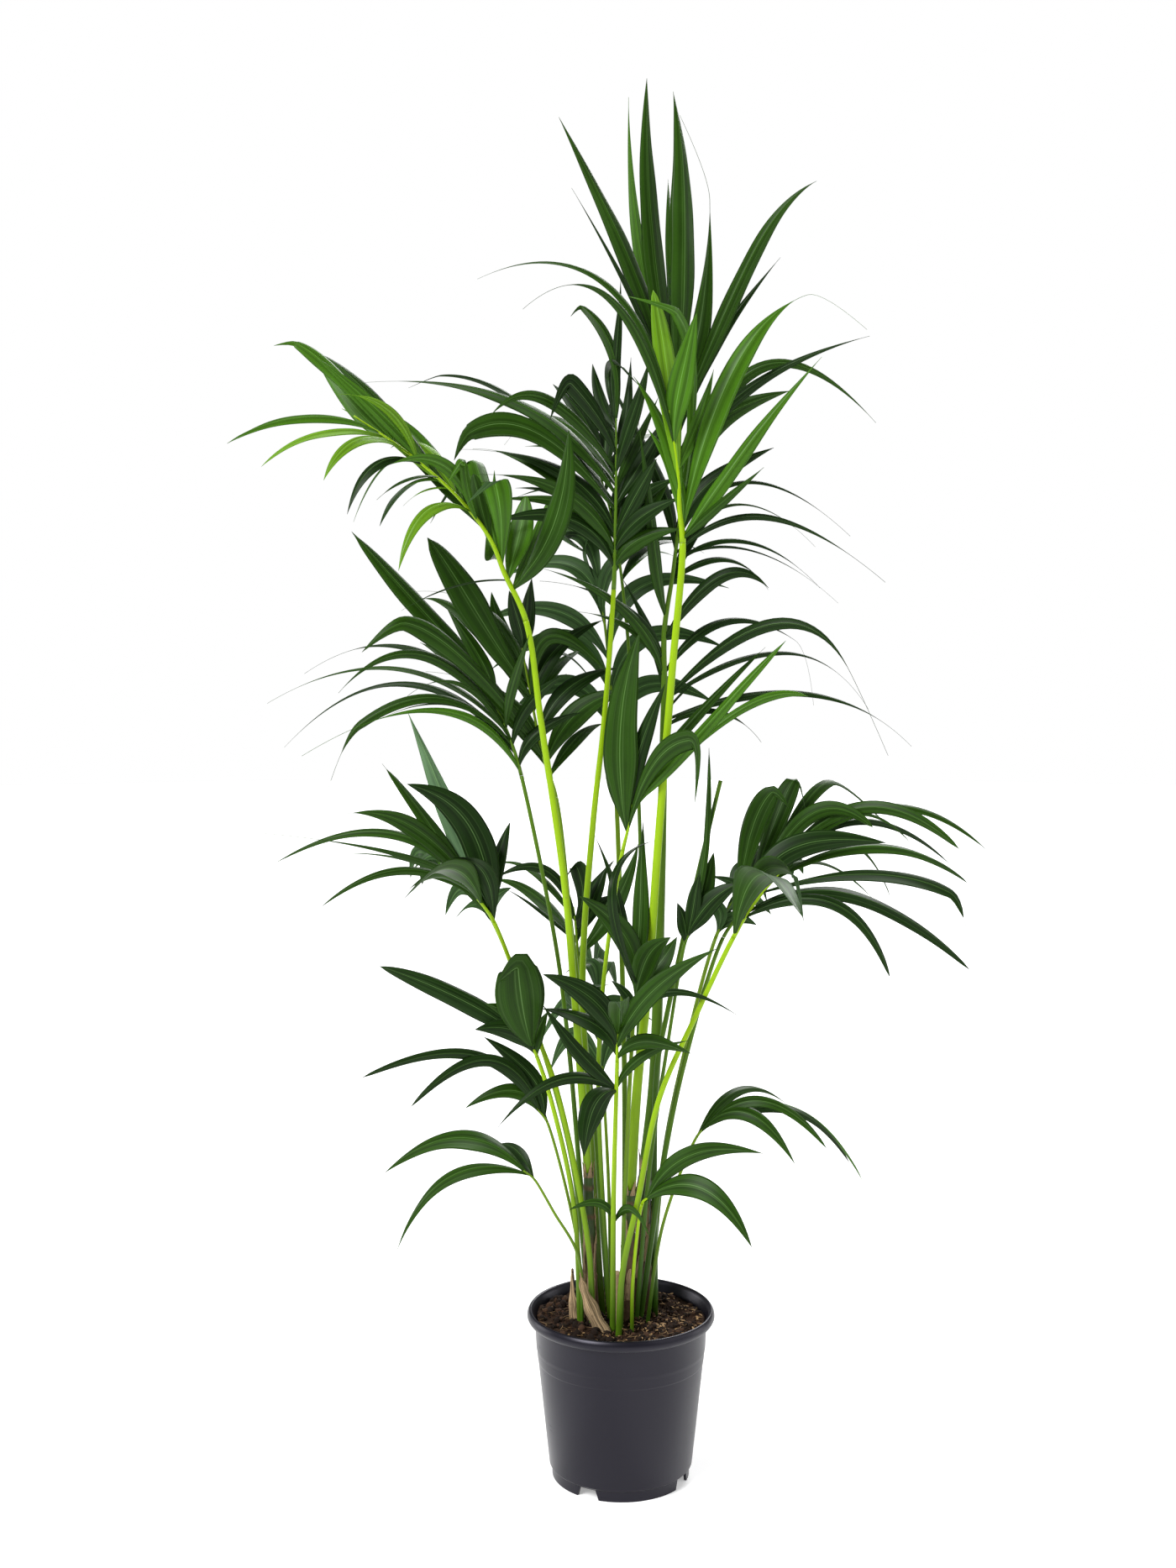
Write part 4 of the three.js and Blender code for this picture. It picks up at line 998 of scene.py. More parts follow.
def cap_quads(first, sides, middle, outward):
    """Triangles between one ring and its middle point."""
    k = np.arange(sides)
    a = first + k
    b = first + (k + 1) % sides
    m = np.full(sides, middle)
    return np.stack([a, b, m, m] if outward else [b, a, m, m], -1)


def closed_tube(rings, ends=None):
    """Points and faces of a tube of rings, closed by a fan about a point at each end."""
    count, sides, _ = rings.shape
    if ends is None:
        ends = [rings[0].mean(0), rings[-1].mean(0)]
    points = np.concatenate([rings.reshape(-1, 3), ends])
    quads = np.concatenate([
        ring_quads(count, sides),
        cap_quads(0, sides, count * sides, False),
        cap_quads((count - 1) * sides, sides, count * sides + 1, True),
    ])
    return points, quads


def ring_places(across, along):
    """Places on the finish for a closed tube's rings and its two ends."""
    places = np.stack(np.broadcast_arrays(across[None, :], along[:, None]), -1).reshape(-1, 2)
    return np.concatenate([places, [[0.5, along[0]], [0.5, along[-1]]]])


def add_plain(shape, rings, tone=0, ends=None):
    """A closed tube whose finish needs no places of its own."""
    points, quads = closed_tube(rings, ends)
    shape.add(points, np.zeros((len(points), 2)), quads, tone)


def add_sheet(shape, face, out, thick, tone=0):
    """A thin closed sheet: rows of points on its inner side, made thick along each row's way out."""
    rows, columns, _ = face.shape
    points, quads = closed_tube(np.concatenate([face + out[:, None, :] * thick, face[:, ::-1]], 1))
    across = np.linspace(0, 1, columns)
    places = ring_places(np.concatenate([across, across[::-1]]), np.linspace(0, 1, rows))
    shape.add(points, places, quads, tone)


def curve_points(points, shares):
    """Points at even shares of a smooth curve through the given points, and its directions there."""
    p = np.asarray(points, float)
    p = np.concatenate([[2 * p[0] - p[1]], p, [2 * p[-1] - p[-2]]])
    spans = len(p) - 3
    gaps = np.sqrt(np.linalg.norm(np.diff(p, axis=0), axis=1))
    at = np.clip(np.asarray(shares, float) * spans, 0, spans)
    i = np.minimum(at.astype(int), spans - 1)
    t = (at - i)[:, None]
    g0, g1, g2 = (gaps[i + k][:, None] for k in range(3))
    x0, x1, x2, x3 = (p[i + k] for k in range(4))
    m1 = ((x1 - x0) / g0 - (x2 - x0) / (g0 + g1) + (x2 - x1) / g1) * g1
    m2 = ((x2 - x1) / g1 - (x3 - x1) / (g1 + g2) + (x3 - x2) / g2) * g1
    c2 = -3 * x1 + 3 * x2 - 2 * m1 - m2
    c3 = 2 * x1 - 2 * x2 + m1 + m2
    return x1 + m1 * t + c2 * t**2 + c3 * t**3, unit(m1 + 2 * c2 * t + 3 * c3 * t**2)


def tube_frames(directions):
    """Two directions across a line at each of its points, carried along without a twist."""
    across = []
    side = np.array([1.0, 0.0, 0.0])
    for heading in directions:
        side = side - heading * (side @ heading)
        side = side / np.linalg.norm(side)
        across.append(side)
    across = np.array(across)
    return across, np.cross(directions, across)


def line_at(line, share):
    """The point and the direction at a share of a polyline's length."""
    steps = np.linalg.norm(np.diff(line, axis=0), axis=1)
    lengths = np.concatenate([[0], np.cumsum(steps)])
    wanted = share * lengths[-1]
    i = min(int(np.searchsorted(lengths, wanted, "right")) - 1, len(line) - 2)
    i = max(i, 0)
    part = (wanted - lengths[i]) / steps[i]
    return line[i] + (line[i + 1] - line[i]) * part, unit(line[i + 1] - line[i])


def half_width(share, row, thread):
    """Half of a leaflet's width, from its narrow foot through its widest place to its tip.

    A thread is the share of its length that is only a thin point.
    """
    width, widest = row["width"], row["widest"]
    blade = np.clip(share / (1 - thread), 0, 1)
    rise = np.sin(np.clip(blade / widest, 0, 1) * math.pi / 2) ** LEAF["rise"]
    fall = np.cos(np.clip((blade - widest) / (1 - widest), 0, 1) * math.pi / 2)
    low = LEAF["foot"] + (width / 2 - LEAF["foot"]) * rise
    high = width / 2 * np.maximum(fall, 0) ** row["fall"]
    return np.where(blade < widest, low, high)


def outline(row, length, plump):
    """Makes a slim leaflet narrower, with a long taper, and a bent one broad up to its bend."""
    if "hang" in row:
        body = length / (length + np.linalg.norm(row["hang"]))
        row["widest"] = min(OUTLINE["bent_widest"], body * OUTLINE["bent_share"])
        row["fall"] = LEAF["fall"]
        return
    slim = (OUTLINE["broad"] - row["width"] / length) / (OUTLINE["broad"] - OUTLINE["slim"])
    slim = min(1.0, max(0.0, slim))
    if plump > 1:
        row.update(width=row["width"] * (1 + (plump - 1) * slim), widest=LEAF["widest"], fall=LEAF["fall"])
        return
    row["width"] = row["width"] * (1 - OUTLINE["narrow"] * slim)
    row["widest"] = LEAF["widest"] - OUTLINE["lower"] * slim
    row["fall"] = LEAF["fall"] + OUTLINE["taper"] * slim


def hang_down(points, directions, sides, share, body, hang):
    """Lets a leaflet's end, past its bend, leave the blade's line and hang."""
    bend = int(np.searchsorted(share, body))
    if bend >= len(share):
        return
    start, heading = points[bend].copy(), directions[bend].copy()
    knee = start + heading * np.linalg.norm(hang) * HANG["crest"]
    t = ((share[bend:] - share[bend]) / (share[-1] - share[bend]))[:, None]
    points[bend:] = start * (1 - t) ** 2 + knee * 2 * t * (1 - t) + (start + hang) * t**2
    directions[bend:] = unit((knee - start) * (1 - t) + (start + hang - knee) * t + 1e-9)
    side = sides[bend]
    for i in range(bend, len(share)):
        side = unit(side - directions[i] * (side @ directions[i]))
        sides[i] = side


def leaflet_frame(root, reach, row, share, twist=0.0):
    """The middle line of a leaflet, with the directions along, across and above it."""
    flat = math.hypot(reach[0], reach[1])
    heading = np.array([reach[0] / flat, reach[1] / flat, 0.0])
    length = np.linalg.norm(reach)
    bulge = UP * (flat / length) - heading * (reach[2] / length)
    knee = root + reach * row["lean"] + bulge * 2 * row["arch"]
    tip = root + reach
    hang = row.get("hang")
    body = 1.0 if hang is None else length / (length + np.linalg.norm(hang))
    t = np.minimum(share / body, 1.0)[:, None]
    points = root * (1 - t) ** 2 + knee * 2 * t * (1 - t) + tip * t**2
    directions = unit((knee - root) * (1 - t) + (tip - knee) * t)
    axis = np.cross(heading, UP)
    slopes = np.arctan2(directions[:, 2], directions @ heading)
    start = unit(knee - root)
    face = row["face"] - start * (row["face"] @ start)
    across = np.cross(start, unit(face))
    across = turned(across, start, math.radians(row.get("roll", -np.sign(reach[0]) * LEAF["roll"])))
    sides = turned(np.tile(across, (len(share), 1)), axis, slopes - math.atan2(start[2], start @ heading))
    sides = turned(sides, directions, twist * share**2)
    if hang is not None:
        hang_down(points, directions, sides, share, body, hang)
    return points, directions, sides, np.cross(sides, directions), length


def bell(distance, width):
    """A soft bump that falls off with the distance."""
    return np.exp(-((distance / width) ** 2))


def fold_height(length, share):
    """How high the middle of a leaflet stands above its edges."""
    return max(LEAF["least_ridge"], length * LEAF["ridge"]) * (1 - LEAF["ridge_taper"] * share)


def coarse_blade(root, reach, row, spare, first=0.0):
    """A few flat faces with the outline of a leaflet, for the test against its neighbours."""
    share = np.linspace(first, 1.0, 8)
    points, _, sides, above, length = leaflet_frame(root, reach, row, share)
    half = (half_width(share, row, 0.0) + spare)[:, None]
    ridge = fold_height(length, share)[:, None]
    rows = np.stack([points - sides * half, points + above * ridge, points + sides * half], 1)
    faces = []
    for r in range(len(share) - 1):
        for a in (r * 3, r * 3 + 1):
            faces.append((a, a + 1, a + 4, a + 3))
    return rows.reshape(-1, 3), faces


def blade_tree(root, reach, row, spare):
    """The coarse faces of a leaflet past its foot, ready for the test."""
    points, faces = coarse_blade(root, reach, row, spare, LEAF["foot_share"])
    return BVHTree.FromPolygons(points.tolist(), faces)


class Crowd:
    """What stands so far, for the test whether a leaflet touches anything."""

    def __init__(self):
        self.members = []

    def add(self, name, points, faces, blade=None):
        tree = BVHTree.FromPolygons(points.tolist(), faces)
        self.members.append((name, points.min(0), points.max(0), tree, blade))

    def near(self, points):
        """The members whose boxes meet the box of some points."""
        low, high = points.min(0), points.max(0)
        for name, other_low, other_high, tree, blade in self.members:
            if (low <= other_high).all() and (high >= other_low).all():
                yield name, tree, blade

    def meets_others(self, free_of, points, faces):
        """Whether a leaflet meets anything but the named members."""
        own = BVHTree.FromPolygons(points.tolist(), faces)
        return any(name not in free_of and own.overlap(tree) for name, tree, _ in self.near(points))

    def meets_own(self, frond, points, blade):
        """Whether a leaflet meets another of its own frond, past their feet."""
        return any(name == frond and blade.overlap(other) for name, _, other in self.near(points))


def feather_rows(frond, line):
    """Leaflets in even pairs along a rib, longest below its middle."""
    feather = frond["feather"]
    face = unit(np.array(frond["face"], float))
    rows = []
    for i in range(feather["pairs"]):
        seat = i / (feather["pairs"] - 1)
        _, heading = line_at(line, seat)
        size = feather["length"] * (1 - FEATHER["shorten"] * abs(seat - FEATHER["longest"]))
        side = unit(np.cross(heading, face))
        for hand in (-1, 1):
            reach = side * hand * size * (feather["spread"] - FEATHER["turn"] * seat)
            reach = reach + heading * size * (feather["ahead"] + FEATHER["turn"] * seat)
            reach = reach - UP * (feather["drop"] + FEATHER["drop_step"] * (i % 3))
            arch = feather["arch"] + FEATHER["arch_step"] * ((i + (hand > 0)) % 3)
            rows.append((seat, reach[0], reach[2], reach[1], arch, feather["width"]))
    return rows


def fill_rows(rows, rng):
    """Shorter leaflets that stand behind some of the main ones, turned to the back."""
    made = []
    for seat, out, up, back, arch, width, *_ in rows:
        size = rng.uniform(FILL["shortest"], FILL["longest"])
        turn = rng.uniform(FILL["least_turn"], FILL["most_turn"])
        if rng.random() < FILL["chance"]:
            seat = max(0.0, seat - FILL["slide"])
            reach = (size * out, size * up, size * back + turn)
            made.append((seat, *reach, size * arch, FILL["narrow"] * width))
    return made


def add_blade(shape, root, reach, row, detail, rng):
    """One leaflet with its veins as low ribs, a fold along the middle, wavy edges and a thread at its tip."""
    share = np.linspace(0, 1, detail.rings + 1) ** BLADE["steps"]
    twist = math.radians(rng.uniform(-BLADE["twist"], BLADE["twist"]))
    points, _, sides, above, length = leaflet_frame(root, reach, row, share, twist)
    wander = rng.uniform(-1, 1, 2) * BLADE["wander"] * length
    swing = np.sin(share * math.pi * rng.uniform(*BLADE["swings"]))[:, None]
    points = points + sides * swing * wander[0] + above * swing * wander[1] * BLADE["wander_up"]
    body = np.sin(share * math.pi)
    ripple = 1 + BLADE["ripple"] * np.sin(share * length / BLADE["ripple_length"] + rng.uniform(0, 6)) * body
    point = detail.thread * (1 - BLADE["point_taper"] * share)
    half = np.maximum(half_width(share, row, row["thread"]) * ripple, point)
    fold = np.minimum(half * BLADE["steepest"], fold_height(length, share) * row["fold"])
    s = np.linspace(-1, 1, detail.columns + 1)
    broad = np.clip(half / BLADE["broad"], 0, 1)[:, None]
    dome = fold[:, None] * (1 - np.abs(s) ** BLADE["dome"])
    pleats = np.cos(s * math.pi * detail.columns / 2)
    pleats = BLADE["pleat"] * broad * pleats * (1 - np.abs(s) ** BLADE["pleats_end"])
    wave = np.sin(share * length / BLADE["wave_length"] + rng.uniform(0, 6))[:, None]
    edge = BLADE["wave"] * broad * wave * np.abs(s) ** BLADE["wave_in"]
    height = dome + pleats + edge * body[:, None]
    thick = BLADE["skin"] + BLADE["midrib"] * bell(s, BLADE["midrib_width"])
    thick = np.minimum(thick * np.sqrt(np.clip(1 - s**2, 0, 1)), BLADE["most_thick"] * half[:, None])
    spread = offset(points, sides, half[:, None] * s)
    top = offset(spread, above, height)
    under = offset(spread, above, height - thick)
    solid, quads = closed_tube(np.concatenate([top, under[:, -2:0:-1]], 1))
    across = np.concatenate([s, s[-2:0:-1]]) * 0.5 + 0.5
    below = np.arange(len(quads)) % (2 * detail.columns) >= detail.columns
    places = ring_places(across, share + rng.uniform(0, 40))
    shape.add(solid, places, quads, np.where(below, UNDERSIDE, row["tone"]))


def pick_tone(light, rng):
    """The finish of a leaflet: 0 deep, in painted shade, 1 middle, 2 and 3 lighter greens in painted light,
    the last sunlit. Two more are the undersides.
    """
    draw = rng.random()
    if draw < light * TONES["sunlit"]:
        return 3
    if draw < light:
        return 2
    return int(draw < light + TONES["middle"] * (1 - light))


def count_of(name, description, value, least=0):
    return bpy.props.IntProperty(name=name, description=description, default=value, min=least)


def measure_of(name, description, value, least):
    return bpy.props.FloatProperty(name=name, description=description, default=value, min=least)


class PalmSizes(bpy.types.PropertyGroup):
    """How finely the pieces are made."""

    rings: count_of("Leaflet rings", "Steps along a leaflet", 32, 8)
    columns: count_of("Leaflet columns", "Steps across a leaflet, two for each vein", 12, 4)
    veins: measure_of("Veins", "Pale lines across a leaflet", 6.0, 1.0)
    thread: measure_of("Thread", "Half thickness of a tip's thread in millimetres", 0.55, 0.1)
    stalk_sides: count_of("Stalk sides", "Corners of a stalk", 20, 6)
    stalk_step: measure_of("Stalk step", "Length of a stalk's steps in millimetres", 7.0, 2.0)
    pot_segments: count_of("Pot segments", "Corners of the pot", 192, 32)
    clods: count_of("Clods", "Crumbs that lie on the soil", 1500)
    fibres: count_of("Fibres", "Fibres that lie on the soil", 420)
    chips: count_of("Chips", "Light chips on the soil", 170)
    seed: count_of("Seed", "Start of the random draws", 7)


def colour_of(name, description, value):
    return bpy.props.FloatVectorProperty(
        name=name, description=description, subtype="COLOR", size=3, default=value, min=0.0, max=1.0
    )


class PalmColours(bpy.types.PropertyGroup):
    """The base colours of the palm's finishes."""

    # The deep leaf green is painted shade, and the two greens after middle are painted light, as though the
    # leaflets were lit or the sun shone through them.
    deep: colour_of("Deep leaf", "Leaflets in the shade", (0.009, 0.029, 0.003))
    middle: colour_of("Leaf", "Most leaflets", (0.020, 0.062, 0.003))
    fresh: colour_of("Fresh leaf", "Leaflets near the light", (0.052, 0.155, 0.005))
    sunlit: colour_of("Sunlit leaf", "Leaflets that light shines through", (0.135, 0.300, 0.008))
    under: colour_of("Underside", "The undersides of the leaflets", (0.034, 0.078, 0.022))
    pale: colour_of("Pale leaf", "A leaflet that shows its pale back", (0.120, 0.220, 0.105))
    vein: colour_of("Vein", "Veins and midribs", (0.145, 0.265, 0.085))
    stalk_bright: colour_of("Bright stalk", "Stalks in front", (0.280, 0.470, 0.002))
    stalk_green: colour_of("Green stalk", "Stalks behind them", (0.085, 0.180, 0.008))
    stalk_deep: colour_of("Deep stalk", "Thin low stalks", (0.140, 0.250, 0.008))
    # The stalk's foot colour is painted shade, as among the stems near the soil.
    stalk_foot: colour_of("Stalk foot", "The foot of a stalk", (0.028, 0.085, 0.006))
    cane: colour_of("Cane", "Green of the old canes", (0.026, 0.055, 0.007))
    bark: colour_of("Bark", "Brown of the old canes", (0.120, 0.072, 0.036))
    husk: colour_of("Husk", "Dry sheaths", (0.520, 0.370, 0.210))
    soil: colour_of("Soil", "Moist peat", (0.027, 0.013, 0.0065))
    chip: colour_of("Chip", "Light wood chips", (0.420, 0.260, 0.120))
    pot: colour_of("Pot", "Charcoal plastic", (0.0062, 0.0058, 0.0096))
    floor: colour_of("Floor", "Pale studio floor", (0.90, 0.90, 0.90))


def rounded_profile(corners, steps=4):
    """A profile whose corners with a radius are rounded by short arcs."""
    points = []
    for i, (radius_at, height, round_by) in enumerate(corners):
        here = np.array([radius_at, height], float)
        if round_by == 0:
            points.append(here)
            continue
        before = np.array(corners[i - 1][:2], float)
        after = np.array(corners[(i + 1) % len(corners)][:2], float)
        into = here + unit(before - here) * round_by
        out = here + unit(after - here) * round_by
        for k in range(steps + 1):
            t = k / steps
            points.append(into * (1 - t) ** 2 + here * 2 * t * (1 - t) + out * t**2)
    return np.array(points)


class PALM_OT_pot(bpy.types.Operator):
    """Add the nursery pot with its rolled rim, its band and its notched skirt"""

    bl_idname = "palm.pot"
    bl_label = "Pot"

    def execute(self, context):
        profile = self.profile()
        angles, lifts = self.corners(context.scene.palm_sizes.pot_segments)
        rings = lathe(profile, angles)
        rings[profile[:, 1] == 0.0, :, 2] += lifts
        shape = Shape()
        add_plain(shape, rings, ends=[(0.0, 0.0, POT["skirt_height"]), (0.0, 0.0, POT["floor"])])
        colours = context.scene.palm_colours
        made = shape.build("nursery_pot", [pot_finish("charcoal_plastic", colours.pot)])
        self.drain(made)
        made.data.set_sharp_from_angle(angle=SHARP)
        finish_piece(made, "pot", "pot")
        return {"FINISHED"}

    def profile(self):
        """Radius and height along the wall: down the skirt's inside, up to the rim, and down to the floor."""
        p = POT
        neck = p["height"] - p["rim_height"]
        skirt = p["skirt_radius"] - p["wall"]
        foot = p["foot_radius"] - p["wall"]
        outside = rounded_profile([
            (p["skirt_radius"], 0.0, 0.0),
            (p["skirt_radius"] + 0.6, p["skirt_height"] - 1, 0.4),
            (p["foot_radius"] + 0.2, p["skirt_height"] + 1.6, 0.8),
            (p["body_radius"] - 1.7, p["step_height"], 0.5),
            (p["body_radius"] - 1.2, p["step_height"] + 1.4, 0.5),
            (p["body_radius"], p["band_foot"] - 4, 1.0),
            (p["band_radius"] - 1.7, p["band_foot"], 1.4),
            (p["band_radius"], neck - 1, 1.0),
            (p["rim_radius"] - 2.5, neck - 0.6, 1.2),
            (p["rim_radius"], neck + 3.4, 2.2),
            (p["rim_radius"], p["height"] - 4.8, 3.0),
            (p["rim_radius"] - 3, p["height"] - 0.3, 1.5),
            (p["mouth_radius"] + 3, p["height"], 1.8),
            (p["mouth_radius"], p["height"] - 3.6, 2.0),
            (p["band_radius"] - p["wall"], neck - 2, 3.0),
            (foot, p["floor"] + 4, 2.0),
            (foot - 4, p["floor"], 2.0),
        ])
        return np.concatenate([[(skirt - 0.2, p["skirt_height"]), (skirt - 1, 0.0)], outside])

    def corners(self, segments):
        """Angles of the pot's corners, two close ones at each side of a notch, and how high its foot is."""
        full = 2 * math.pi
        part = full / NOTCH["count"]
        half = math.asin(NOTCH["width"] / 2 / POT["skirt_radius"])
        splay = NOTCH["splay"] / POT["skirt_radius"]
        found = []
        for i in range(NOTCH["count"]):
            middle = math.radians(NOTCH["first"] - 90 + 360 * i / NOTCH["count"])
            for side in (-half, half):
                for away in (-splay / 2, splay / 2):
                    inner = side * away < 0
                    found.append((middle + side + away, NOTCH["height"] if inner else 0.0))
            for k in range(segments // NOTCH["count"]):
                turn = full * (k + 0.5) / segments
                near = min(turn, part - turn)
                if abs(near - half) >= splay:
                    found.append((middle + turn, NOTCH["height"] if near < half else 0.0))
        return np.array(sorted((angle % full, lift) for angle, lift in found)).T

    def drain(self, made):
        """Cuts the drain holes in the pot's floor."""
        for i in range(DRAIN["count"]):
            angle = 2 * math.pi * (i + 0.5) / DRAIN["count"]
            tool = bmesh.new()
            radius = DRAIN["radius"] * MM
            bmesh.ops.create_cone(
                tool, cap_ends=True, segments=DRAIN["sides"], radius1=radius, radius2=radius,
                depth=DRAIN["depth"] * MM,
            )
            hole = Vector((math.cos(angle), math.sin(angle), 0)) * DRAIN["ring"] * MM
            bmesh.ops.translate(tool, verts=tool.verts, vec=hole + Vector((0, 0, POT["floor"] * MM)))
            mesh = bpy.data.meshes.new("drill")
            tool.to_mesh(mesh)
            tool.free()
            drill = bpy.data.objects.new("drill", mesh)
            bpy.context.scene.collection.objects.link(drill)
            cut = made.modifiers.new("drain", "BOOLEAN")
            cut.operation = "DIFFERENCE"
            cut.solver = "EXACT"
            cut.object = drill
            graph = bpy.context.evaluated_depsgraph_get()
            result = bpy.data.meshes.new_from_object(made.evaluated_get(graph))
            made.modifiers.clear()
            made.data = result
            bpy.data.objects.remove(drill)


def soil_height(x, y):
    """The soil's uneven surface, in millimetres above its level: waves of three lengths, and a slope."""
    clumps = 3.2 * np.sin(x / 17 + 1.3) * np.cos(y / 21 - 0.4) + 1.6 * np.sin(x / 7.3 + y / 9.1)
    return clumps + 0.7 * np.sin(x / 2.9) * np.sin(y / 3.3) - 0.02 * x - 1.0


class PALM_OT_soil(bpy.types.Operator):
    """Add the potting soil with its crumbs, fibres and chips"""

    bl_idname = "palm.soil"
    bl_label = "Soil"

    def execute(self, context):
        sizes = context.scene.palm_sizes
        colours = context.scene.palm_colours
        rng = np.random.default_rng(sizes.seed)
        peat = soil_finish("peat", colours.soil, tint(colours.soil, 3.2))
        finish_piece(self.bed(peat), "soil", "soil")
        dark = plain_finish("crumb_dark", tint(colours.soil, 0.55), 0.95)
        brown = plain_finish("crumb_brown", tint(colours.soil, 2.6), 0.9)
        straw = plain_finish("straw", tint(colours.chip, 0.75), 0.8)
        chip = plain_finish("chip", colours.chip, 0.8)
        finish_piece(self.crumbs(sizes.clods, rng, [dark, brown]), "soil")
        finish_piece(self.litter(sizes, rng, [straw, chip, brown]), "soil")
        return {"FINISHED"}

    def bed(self, peat):
        """One closed block whose top is uneven."""
        foot = POT["floor"] + 5
        shoulder = LEVEL - BED["shoulder"]
        wall = [
            (POT["foot_radius"] - POT["wall"] - 5, POT["floor"] + GAP),
            (wall_radius(foot), foot),
            (wall_radius(shoulder), shoulder),
        ]
        radius = wall_radius(LEVEL) - BED["gap"]
        surface = [(radius * (1 - k / BED["rings"]), LEVEL) for k in range(BED["rings"])]
        rings = lathe(wall + surface, np.arange(BED["sides"]) * 2 * math.pi / BED["sides"])
        top = rings[len(wall):]
        top[..., 2] += soil_height(top[..., 0], top[..., 1])
        shape = Shape()
        add_plain(shape, rings)
        return shape.build("soil_bed", [peat])

    def crumbs(self, count, rng, materials):
        """Clods of peat, each a small uneven ball."""
        ball = bmesh.new()
        bmesh.ops.create_icosphere(ball, subdivisions=1, radius=1.0)
        points = np.array([v.co for v in ball.verts])
        faces = np.array([[v.index for v in f.verts] for f in ball.faces])
        ball.free()
        quads = np.concatenate([faces, faces[:, 2:]], 1)
        places = np.zeros((len(points), 2))
        shape = Shape()
        for _ in range(count):
            x, y = self.spot(rng)
            more = CLOD["more"] if x > CLOD["left"] else CLOD["more_at_left"]
            size = CLOD["least"] + more * rng.random() ** CLOD["rarity"]
            bumps = points * (1 + rng.uniform(-CLOD["uneven"], CLOD["uneven"], (len(points), 1)))
            bumps = bumps * size * rng.uniform(*CLOD["squash"], 3)
            base = np.array([x, y, LEVEL + soil_height(x, y) + size * CLOD["sunk"]])
            shape.add(bumps + base, places, quads, int(rng.random() < CLOD["brown"]))
        return shape.build("soil_crumbs", materials)

    def litter(self, sizes, rng, materials):
        """Fibres and light chips that lie on the crumbs."""
        tilt, flat = LITTER["tilt"], LITTER["flat"]
        corners = np.array([[-1, -flat], [1, -flat], [1, flat], [-1, flat]])
        shape = Shape()
        for i in range(sizes.fibres + sizes.chips):
            x, y = self.spot(rng)
            kind = FIBRE if i < sizes.fibres else CHIP
            if kind is CHIP and y > LITTER["bare_front"]:
                x = abs(x)
            length = rng.uniform(*kind["length"])
            corner = corners * rng.uniform(*kind["half"])
            angle = rng.uniform(0, math.pi)
            heading = np.array([math.cos(angle), math.sin(angle), rng.uniform(-tilt, tilt)])
            share = np.linspace(-0.5, 0.5, kind["points"])
            side = np.array([-heading[1], heading[0], 0.0])
            bend = rng.uniform(-LITTER["bend"], LITTER["bend"]) * length
            line = heading * share[:, None] * length + side * (bend * (share**2 * 4 - 0.5))[:, None]
            base = np.array([x, y, LEVEL + soil_height(x, y) + rng.uniform(*LITTER["lift"])])
            taper = (1 - np.abs(share * 2) ** 4 * LITTER["taper"])[:, None, None]
            section = corner[None, :, :1] * side + corner[None, :, 1:] * UP
            tone = 1 if kind is CHIP else 0 if rng.random() < 0.5 else 2
            add_plain(shape, line[:, None, :] + section * taper + base, tone)
        return shape.build("soil_litter", materials, sharp=True)

    def spot(self, rng):
        """A place on the soil, off the pot's wall."""
        radius = (wall_radius(LEVEL) - 4) * math.sqrt(rng.random())
        angle = rng.uniform(0, 2 * math.pi)
        return radius * math.cos(angle), radius * math.sin(angle)


def wall_radius(height):
    """The soil's radius at a height inside the pot."""
    low = POT["floor"] + 4
    high = POT["height"] - POT["rim_height"] - 2
    share = (height - low) / (high - low)
    return POT["foot_radius"] - POT["wall"] + share * (POT["band_radius"] - POT["foot_radius"]) - 0.6


def ribbed_tube(centres, directions, radii, *, sides, ribs=1, depth=0.0, groove=0.0, face=FRONT):
    """A stalk's points, places and faces: round, with fine ribs all round and a groove on the face side."""
    across, beside = tube_frames(directions)
    angles = np.arange(sides) * 2 * math.pi / sides
    toward = np.cos(angles) * (across @ face)[:, None] + np.sin(angles) * (beside @ face)[:, None]
    swell = 1 + depth * np.cos(angles * ribs) - groove * np.clip(toward - 0.55, 0, 1)
    radius = radii[:, None] * swell
    rings = offset(offset(centres, across, radius * np.cos(angles)), beside, radius * np.sin(angles))
    points, quads = closed_tube(rings)
    return points, ring_places(np.arange(sides) / sides, np.linspace(0, 1, len(centres))), quads


def level_foot(directions):
    """The directions of a line, turned upright over its first three steps so that its foot is level."""
    share = np.clip(np.arange(len(directions)) / 3, 0, 1)[:, None]
    return unit(directions * share + UP * (1 - share))


def start_past(places, share):
    """Moves places along a stalk's finish, so that they start past the painted shade at its foot."""
    places[:, 1] = share + (1 - share) * places[:, 1]


def coarse_tube(centres, directions, radii):
    """A stalk with few faces, for the test against the leaflets."""
    points, _, quads = ribbed_tube(centres, directions, radii, sides=8)
    return points, [tuple(dict.fromkeys(q)) for q in quads.tolist()]


